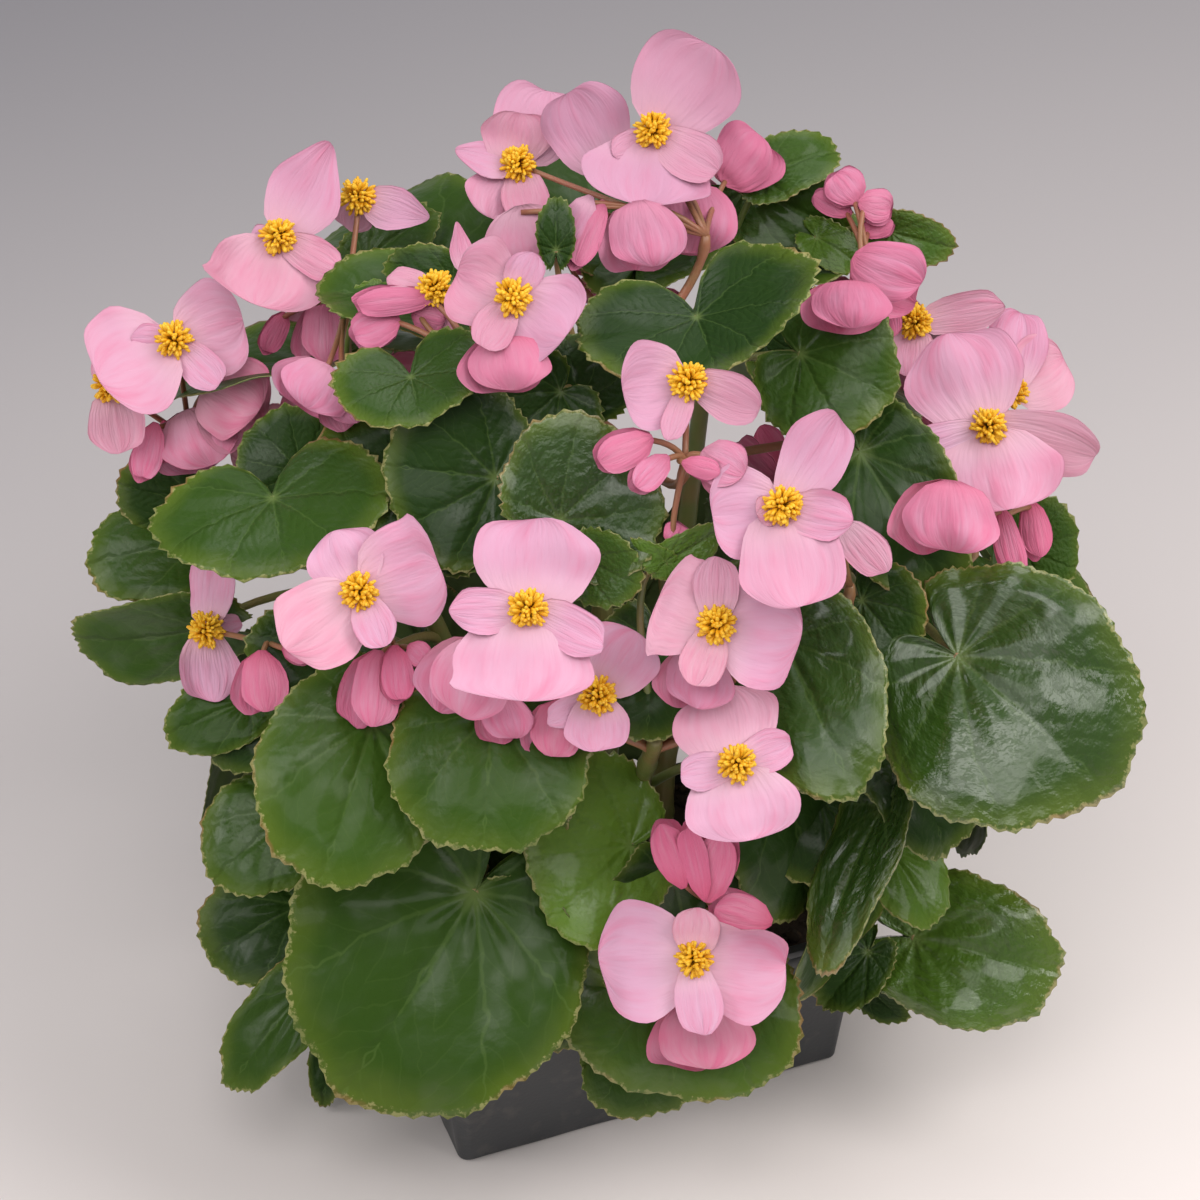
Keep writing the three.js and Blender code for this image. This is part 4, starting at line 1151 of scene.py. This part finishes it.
class Look:
    """A material and short ways to add nodes to it."""

    def __init__(self, name):
        self.material = bpy.data.materials.new(name)
        self.material.use_nodes = True
        self.tree = self.material.node_tree
        self.shader = self.tree.nodes["Principled BSDF"]

    def node(self, kind, inputs=(), output=0, **settings):
        node = self.tree.nodes.new("ShaderNode" + kind)
        for key, value in settings.items():
            setattr(node, key, value)
        for key, value in dict(inputs).items():
            self.put(node.inputs[key], value)
        return Value(self, node.outputs[output])

    def put(self, socket, value):
        if isinstance(value, Value):
            self.tree.links.new(value.socket, socket)
        else:
            socket.default_value = value

    def set(self, **inputs):
        for key, value in inputs.items():
            self.put(self.shader.inputs[key.replace("_", " ")], value)

    def math(self, operation, *values):
        return self.node("Math", dict(enumerate(values)), operation=operation)

    def step(self, value, low, high, start=0.0, end=1.0):
        """A soft step from start to end as the value goes from low to high."""
        inputs = {0: value, 1: low, 2: high, 3: start, 4: end}
        return self.node("MapRange", inputs, interpolation_type="SMOOTHSTEP")

    def mix(self, share, a, b):
        colours = [(*c, 1) if isinstance(c, tuple) else c for c in (a, b)]
        inputs = {0: share, 6: colours[0], 7: colours[1]}
        return self.node("Mix", inputs, output=2, data_type="RGBA")

    def split(self, label):
        """One of a mesh's own vectors, whole and as its three numbers."""
        vector = self.node("Attribute", output=1, attribute_name=label)
        return vector, *(self.node("SeparateXYZ", {0: vector}, output=i) for i in range(3))

    def place(self):
        return self.node("TexCoord", output=3)

    def noise(self, vector, scale, detail=3.0, rough=0.55):
        inputs = {"Vector": vector, "Scale": scale, "Detail": detail, "Roughness": rough}
        return self.node("TexNoise", inputs)

    def bump(self, height, distance, strength):
        return self.node("Bump", {"Height": height, "Distance": distance, "Strength": strength})


def vein_distances(look, vector, x, y, reach):
    """How far a point of the blade lies beside a main vein, and off the nearest side vein."""
    angle = look.math("ABSOLUTE", look.math("ARCTAN2", y, x))
    drift = look.noise(vector, 4.0, 2.0) * 0.22 - 0.11
    bent = angle + reach * VEIN_BEND * look.math("SINE", angle) + drift
    off = look.math("PINGPONG", bent, VEIN_STEP / 2)
    beside = reach * look.math("SINE", off)
    ahead = reach * look.math("COSINE", off)
    return beside, look.math("PINGPONG", ahead - beside * 0.95, SIDE_VEIN_STEP)


def leaf_look():
    """Waxy green with sunken palmate veins, a paler edge and a matt pale underside."""
    look = Look("leaf")
    vector, x, y, share = look.split("spot")
    _, tone, gloss, under = look.split("look")
    place = look.place()
    blotch = look.noise(place, 38.0)
    grain = look.noise(place, 420.0, 2.0)
    reach = (x**2.0 + y**2.0) ** 0.5
    beside, side_off = vein_distances(look, vector, x, y, reach)
    main = 1.0 - look.step(beside / (0.011 - share * 0.007), 0.4, 1.6)
    fine = 1.0 - look.step(side_off, 0.002, 0.008)
    # Body of the blade, from dark to fresh green; the dark end also carries painted shade for the inner
    # leaves, and the pale end partly painted light for leaf_front_right
    green = look.mix(tone, (0.01, 0.028, 0.006), (0.066, 0.142, 0.012))
    green = look.mix(look.step(tone, 0.7, 1.2), green, (0.16, 0.29, 0.03))
    green = look.mix(blotch * 0.6, green, (0.03, 0.072, 0.008))
    # Paler towards the edge, along the veins and at the junction
    margin = look.step(share + blotch * 0.3, 0.92, 1.24)
    green = look.mix(margin * 0.6, green, (0.13, 0.185, 0.018))
    green = look.mix((main + fine * 0.35) * 0.22, green, (0.11, 0.18, 0.045))
    green = look.mix(look.step(reach, 0.0, 0.12, 0.4, 0.0), green, (0.2, 0.27, 0.08))
    # Ragged pale fringe, browned in places
    ragged = share + look.noise(place, 620.0, 2.0, 0.7) * 0.13
    fringe = look.step(ragged, 1.042, 1.065) * look.step(blotch, 0.3, 0.55, 0.35, 0.8)
    green = look.mix(fringe, green, (0.34, 0.33, 0.13))
    rim = look.step(share, 0.97, 0.99) * look.step(blotch, 0.5, 0.68)
    green = look.mix(rim * 0.6, green, (0.3, 0.13, 0.06))
    colour = look.mix(under, green, (0.11, 0.16, 0.055))
    # Raised between the veins, and wrinkled where the leaf is glossy
    quilt = look.step(beside, 0.0, 0.06) + look.step(side_off, 0.0, 0.055) * 0.25
    wrinkle = look.noise(vector, 9.0, 3.0, 0.5)
    normal = look.bump(quilt + wrinkle * (gloss * 3.2 + 0.7), 0.0006, 0.6)
    # Wet or waxy gloss in patches
    damp = look.step(look.noise(place, 55.0, 2.0, 0.6), 0.45, 0.62)
    wet = gloss * 0.5 + damp * 0.3
    rough = grain * 0.14 + 0.48 - wet * 0.45 + under * 0.25
    look.set(Base_Color=colour, Roughness=rough, Normal=normal, Specular_IOR_Level=wet * 0.6 + 0.03)
    look.set(Coat_Weight=gloss * 0.7, Coat_Roughness=0.12)
    return look.material


def petal_look():
    """Soft pink, whiter at the foot, deeper on edges, backs and buds, with streaks; painted shade deepens
    the throat and dulls the tepals up in the crown.
    """
    look = Look("petal")
    _, along, across, edge = look.split("spot")
    _, tone, back, seed = look.split("look")
    place = look.place()
    fine_place = look.node("CombineXYZ", {0: across * 6.0, 1: along, 2: seed})
    broad_place = look.node("CombineXYZ", {0: across * 2.6, 1: along, 2: seed})
    fine = look.noise(fine_place, 2.2, 2.0, 0.6)
    broad = look.noise(broad_place, 1.6, 2.0)
    cloud = look.noise(place, 60.0, 2.0)
    streak = (broad * 0.75 + fine * 0.35 - 0.55) * look.step(along, 0.1, 0.8, 0.5, 1.3)
    deep = tone + streak - 0.12 + cloud * 0.3 + edge * 0.12
    cool = look.step(look.math("FRACT", seed * 3.7), 0.1, 0.9)
    pink = look.mix(cool, (0.73, 0.38, 0.49), (0.7, 0.385, 0.55))
    colour = look.mix(look.step(deep, -0.1, 1.1), pink, (0.72, 0.15, 0.29))
    pale = look.step(along, 0.05, 0.55, 0.65, 0.0) * look.step(tone, 0.3, 0.6, 1.0, 0.0)
    colour = look.mix(pale, colour, (0.78, 0.6, 0.7))
    # Deep red towards the foot, strongest on buds and backs: partly their own deeper red and partly painted
    # shade in the throat beside the stamens.
    throat = look.step(along, 0.0, 0.45, 1.0, 0.0) * look.step(tone, 0.35, 0.7, 0.2, 0.6)
    colour = look.mix(throat, colour, (0.62, 0.07, 0.16))
    # Painted shade: tepals higher than 0.2 m are mixed towards a dusky pink, for the light that falls off
    # towards the top of the plant.
    height = look.node("SeparateXYZ", {0: place}, output=2)
    colour = look.mix(look.step(height, 0.2, 0.3, 0.0, 0.45), colour, (0.42, 0.17, 0.27))
    normal = look.bump(broad + fine * 0.3, 0.0012, 0.5)
    look.set(Base_Color=colour, Roughness=0.55, Normal=normal, Specular_IOR_Level=0.25)
    look.set(Sheen_Weight=0.12 - back * 0.05)
    return look.material


def stamen_look():
    """Golden yellow, with painted shade that turns them darker orange at the foot, deep in the ball."""
    look = Look("stamen")
    _, along, _, _ = look.split("spot")
    _, tone, _, _ = look.split("look")
    colour = look.mix(tone, (0.84, 0.43, 0.01), (0.92, 0.58, 0.035))
    # Painted shade: darker orange-brown towards the foot of each stamen, inside the ball.
    colour = look.mix(look.step(along, 0.8, 3.0, 1.0, 0.0), colour, (0.5, 0.2, 0.008))
    normal = look.bump(look.noise(look.place(), 1500.0), 0.0002, 0.4)
    look.set(Base_Color=colour, Roughness=0.5, Normal=normal)
    return look.material


def stalk_look():
    """Fleshy stalks, from green to reddish brown."""
    look = Look("stalk")
    _, tone, _, _ = look.split("look")
    place = look.place()
    cloud = look.noise(place, 70.0)
    fibre = look.noise(look.node("Mapping", {"Vector": place, "Scale": (900.0, 900.0, 90.0)}), 1.0)
    share = look.step(tone - 0.45 + cloud * 0.9, 0.0, 1.0)
    colour = look.mix(share, (0.12, 0.19, 0.04), (0.38, 0.1, 0.075))
    colour = look.mix(fibre * 0.3, colour, (0.25, 0.26, 0.1))
    look.set(Base_Color=colour, Roughness=0.38, Normal=look.bump(fibre, 0.0003, 0.5))
    return look.material


def pot_look():
    """Satin charcoal plastic, a little dusty and scuffed."""
    look = Look("pot")
    place = look.place()
    cloud = look.noise(place, 45.0)
    speck = look.noise(place, 900.0, 2.0)
    colour = look.mix(cloud, (0.03, 0.033, 0.036), (0.055, 0.058, 0.062))
    dust = look.step(look.noise(place, 160.0, 5.0), 0.52, 0.72) * 0.25
    colour = look.mix(dust, colour, (0.14, 0.13, 0.115))
    look.set(Base_Color=colour, Roughness=cloud * 0.2 + 0.36, Normal=look.bump(speck, 0.0002, 0.4))
    return look.material


def soil_look():
    """Dark peat with browner crumbs and a few pale grains."""
    look = Look("soil")
    _, tone, _, _ = look.split("look")
    place = look.place()
    grain = look.noise(place, 700.0, 5.0, 0.7)
    cloud = look.noise(place, 120.0, 3.0)
    colour = look.mix(cloud, (0.012, 0.007, 0.004), (0.05, 0.028, 0.015))
    colour = look.mix(look.step(tone, 0.3, 0.8), colour, (0.13, 0.075, 0.035))
    colour = look.mix(look.step(tone, 0.85, 0.95), colour, (0.55, 0.52, 0.46))
    normal = look.bump(grain, 0.0012, 0.9)
    look.set(Base_Color=colour, Roughness=grain * 0.15 + 0.8, Normal=normal)
    return look.material


def floor_look():
    """Pale paper, warm near the front, with painted shade that makes it cooler and darker behind, and pale
    grey again far off.
    """
    look = Look("floor")
    place = look.place()
    aside = -SIGHT_OUT - 0.3 * SIGHT_RIGHT
    inputs = {0: place, 1: (aside[0], aside[1], 0.0)}
    away = look.node("VectorMath", inputs, output=1, operation="DOT_PRODUCT")
    cloud = look.noise(place, 3.0, 2.0)
    # Painted shade: the paper is coloured darker and cooler away from the front, for the light that falls
    # off there.
    near = look.math("POWER", 0.165, away + 0.05 + cloud * 0.03)
    near = look.math("MAXIMUM", look.math("MINIMUM", near, 1.0), 0.27)
    colour = look.mix(near, (0.0, 0.015, 0.055), (0.84, 0.775, 0.755))
    distance = look.node("VectorMath", {0: place}, output=1, operation="LENGTH")
    colour = look.mix(look.step(distance, 0.75, 1.8), colour, (0.9, 0.9, 0.9))
    look.set(Base_Color=colour, Roughness=cloud * 0.1 + 0.75, Specular_IOR_Level=0.2)
    return look.material


# Floor, light and camera

def stage():
    """A wide flat floor."""
    half = 6.0
    mesh = bpy.data.meshes.new("floor")
    corners = [(-half, -half, 0), (half, -half, 0), (half, half, 0), (-half, half, 0)]
    mesh.from_pydata(corners, [], [(0, 1, 2, 3)])
    mesh.materials.append(floor_look())
    floor = bpy.data.objects.new("floor", mesh)
    bpy.context.scene.collection.objects.link(floor)


def aim_at(thing, place, target):
    """Puts a thing at a place, in metres, with its -Z side towards the target."""
    back = unit(np.array(place, float) - np.array(target, float))
    right = unit(np.cross([0, 0, 1.0], back))
    up = np.cross(back, right)
    matrix = [[right[i], up[i], back[i], place[i]] for i in range(3)] + [[0, 0, 0, 1]]
    thing.matrix_world = Matrix(matrix)


def soft_light(name, azimuth, elevation, distance, size, power, colour):
    """A large soft box aimed at the plant, by its azimuth from the camera's own."""
    turn = AZIMUTH + math.radians(azimuth)
    lift = math.radians(elevation)
    direction = np.array([
        math.sin(turn) * math.cos(lift), -math.cos(turn) * math.cos(lift), math.sin(lift),
    ])
    light = bpy.data.lights.new(name, "AREA")
    light.shape = "SQUARE"
    light.size = size
    light.energy = power
    light.color = colour
    thing = bpy.data.objects.new(name, light)
    thing.visible_camera = False
    bpy.context.scene.collection.objects.link(thing)
    target = np.array([0, 0, 0.12])
    aim_at(thing, target + direction * distance, target)


# Name, azimuth, elevation, distance and size in m, power in W, colour
LIGHTS = [
    ("key", 70, 50, 1.7, 1.0, 16, (1.0, 0.97, 0.94)),
    ("front", -8, 58, 1.7, 1.0, 11, (1.0, 0.98, 0.96)),
    ("fill", -50, 32, 1.8, 1.0, 5, (1.0, 0.98, 0.97)),
    ("side", -74, 45, 1.7, 0.55, 4.6, (1.0, 0.99, 0.98)),
    ("top", 160, 62, 1.8, 1.2, 9, (1.0, 1.0, 1.0)),
]


def lighting():
    for light in LIGHTS:
        soft_light(*light)
    world = bpy.data.worlds.new("room")
    world.use_nodes = True
    background = world.node_tree.nodes["Background"]
    background.inputs["Color"].default_value = (0.88, 0.88, 0.9, 1)
    background.inputs["Strength"].default_value = 0.28
    bpy.context.scene.world = world
    bpy.context.scene.view_settings.view_transform = "Standard"


def camera():
    """The camera, from the side that the plant is drawn from."""
    data = bpy.data.cameras.new("camera")
    data.sensor_width = 36
    data.lens = 36 * STEPS_PER_UNIT / (2 * MIDDLE)
    thing = bpy.data.objects.new("camera", data)
    bpy.context.scene.collection.objects.link(thing)
    aim_at(thing, EYE * MM, TARGET * MM)
    bpy.context.scene.camera = thing


leaf_material = leaf_look()
petal_material = petal_look()
stamen_material = stamen_look()
stalk_material = stalk_look()
pot_material = pot_look()
soil_material = soil_look()

pot()
soil(3)
stems(5)
blooms = np.random.default_rng(11)
for cluster_name, cluster_row in CLUSTERS.items():
    cluster(cluster_name, cluster_row, seen, blooms)
for cluster_name, (azimuth, height, inset, turn) in FAR_CLUSTERS.items():
    cluster(cluster_name, far_spray(math.radians(turn), inset), around(azimuth, height), blooms)
leaves(17)
stage()
lighting()
camera()
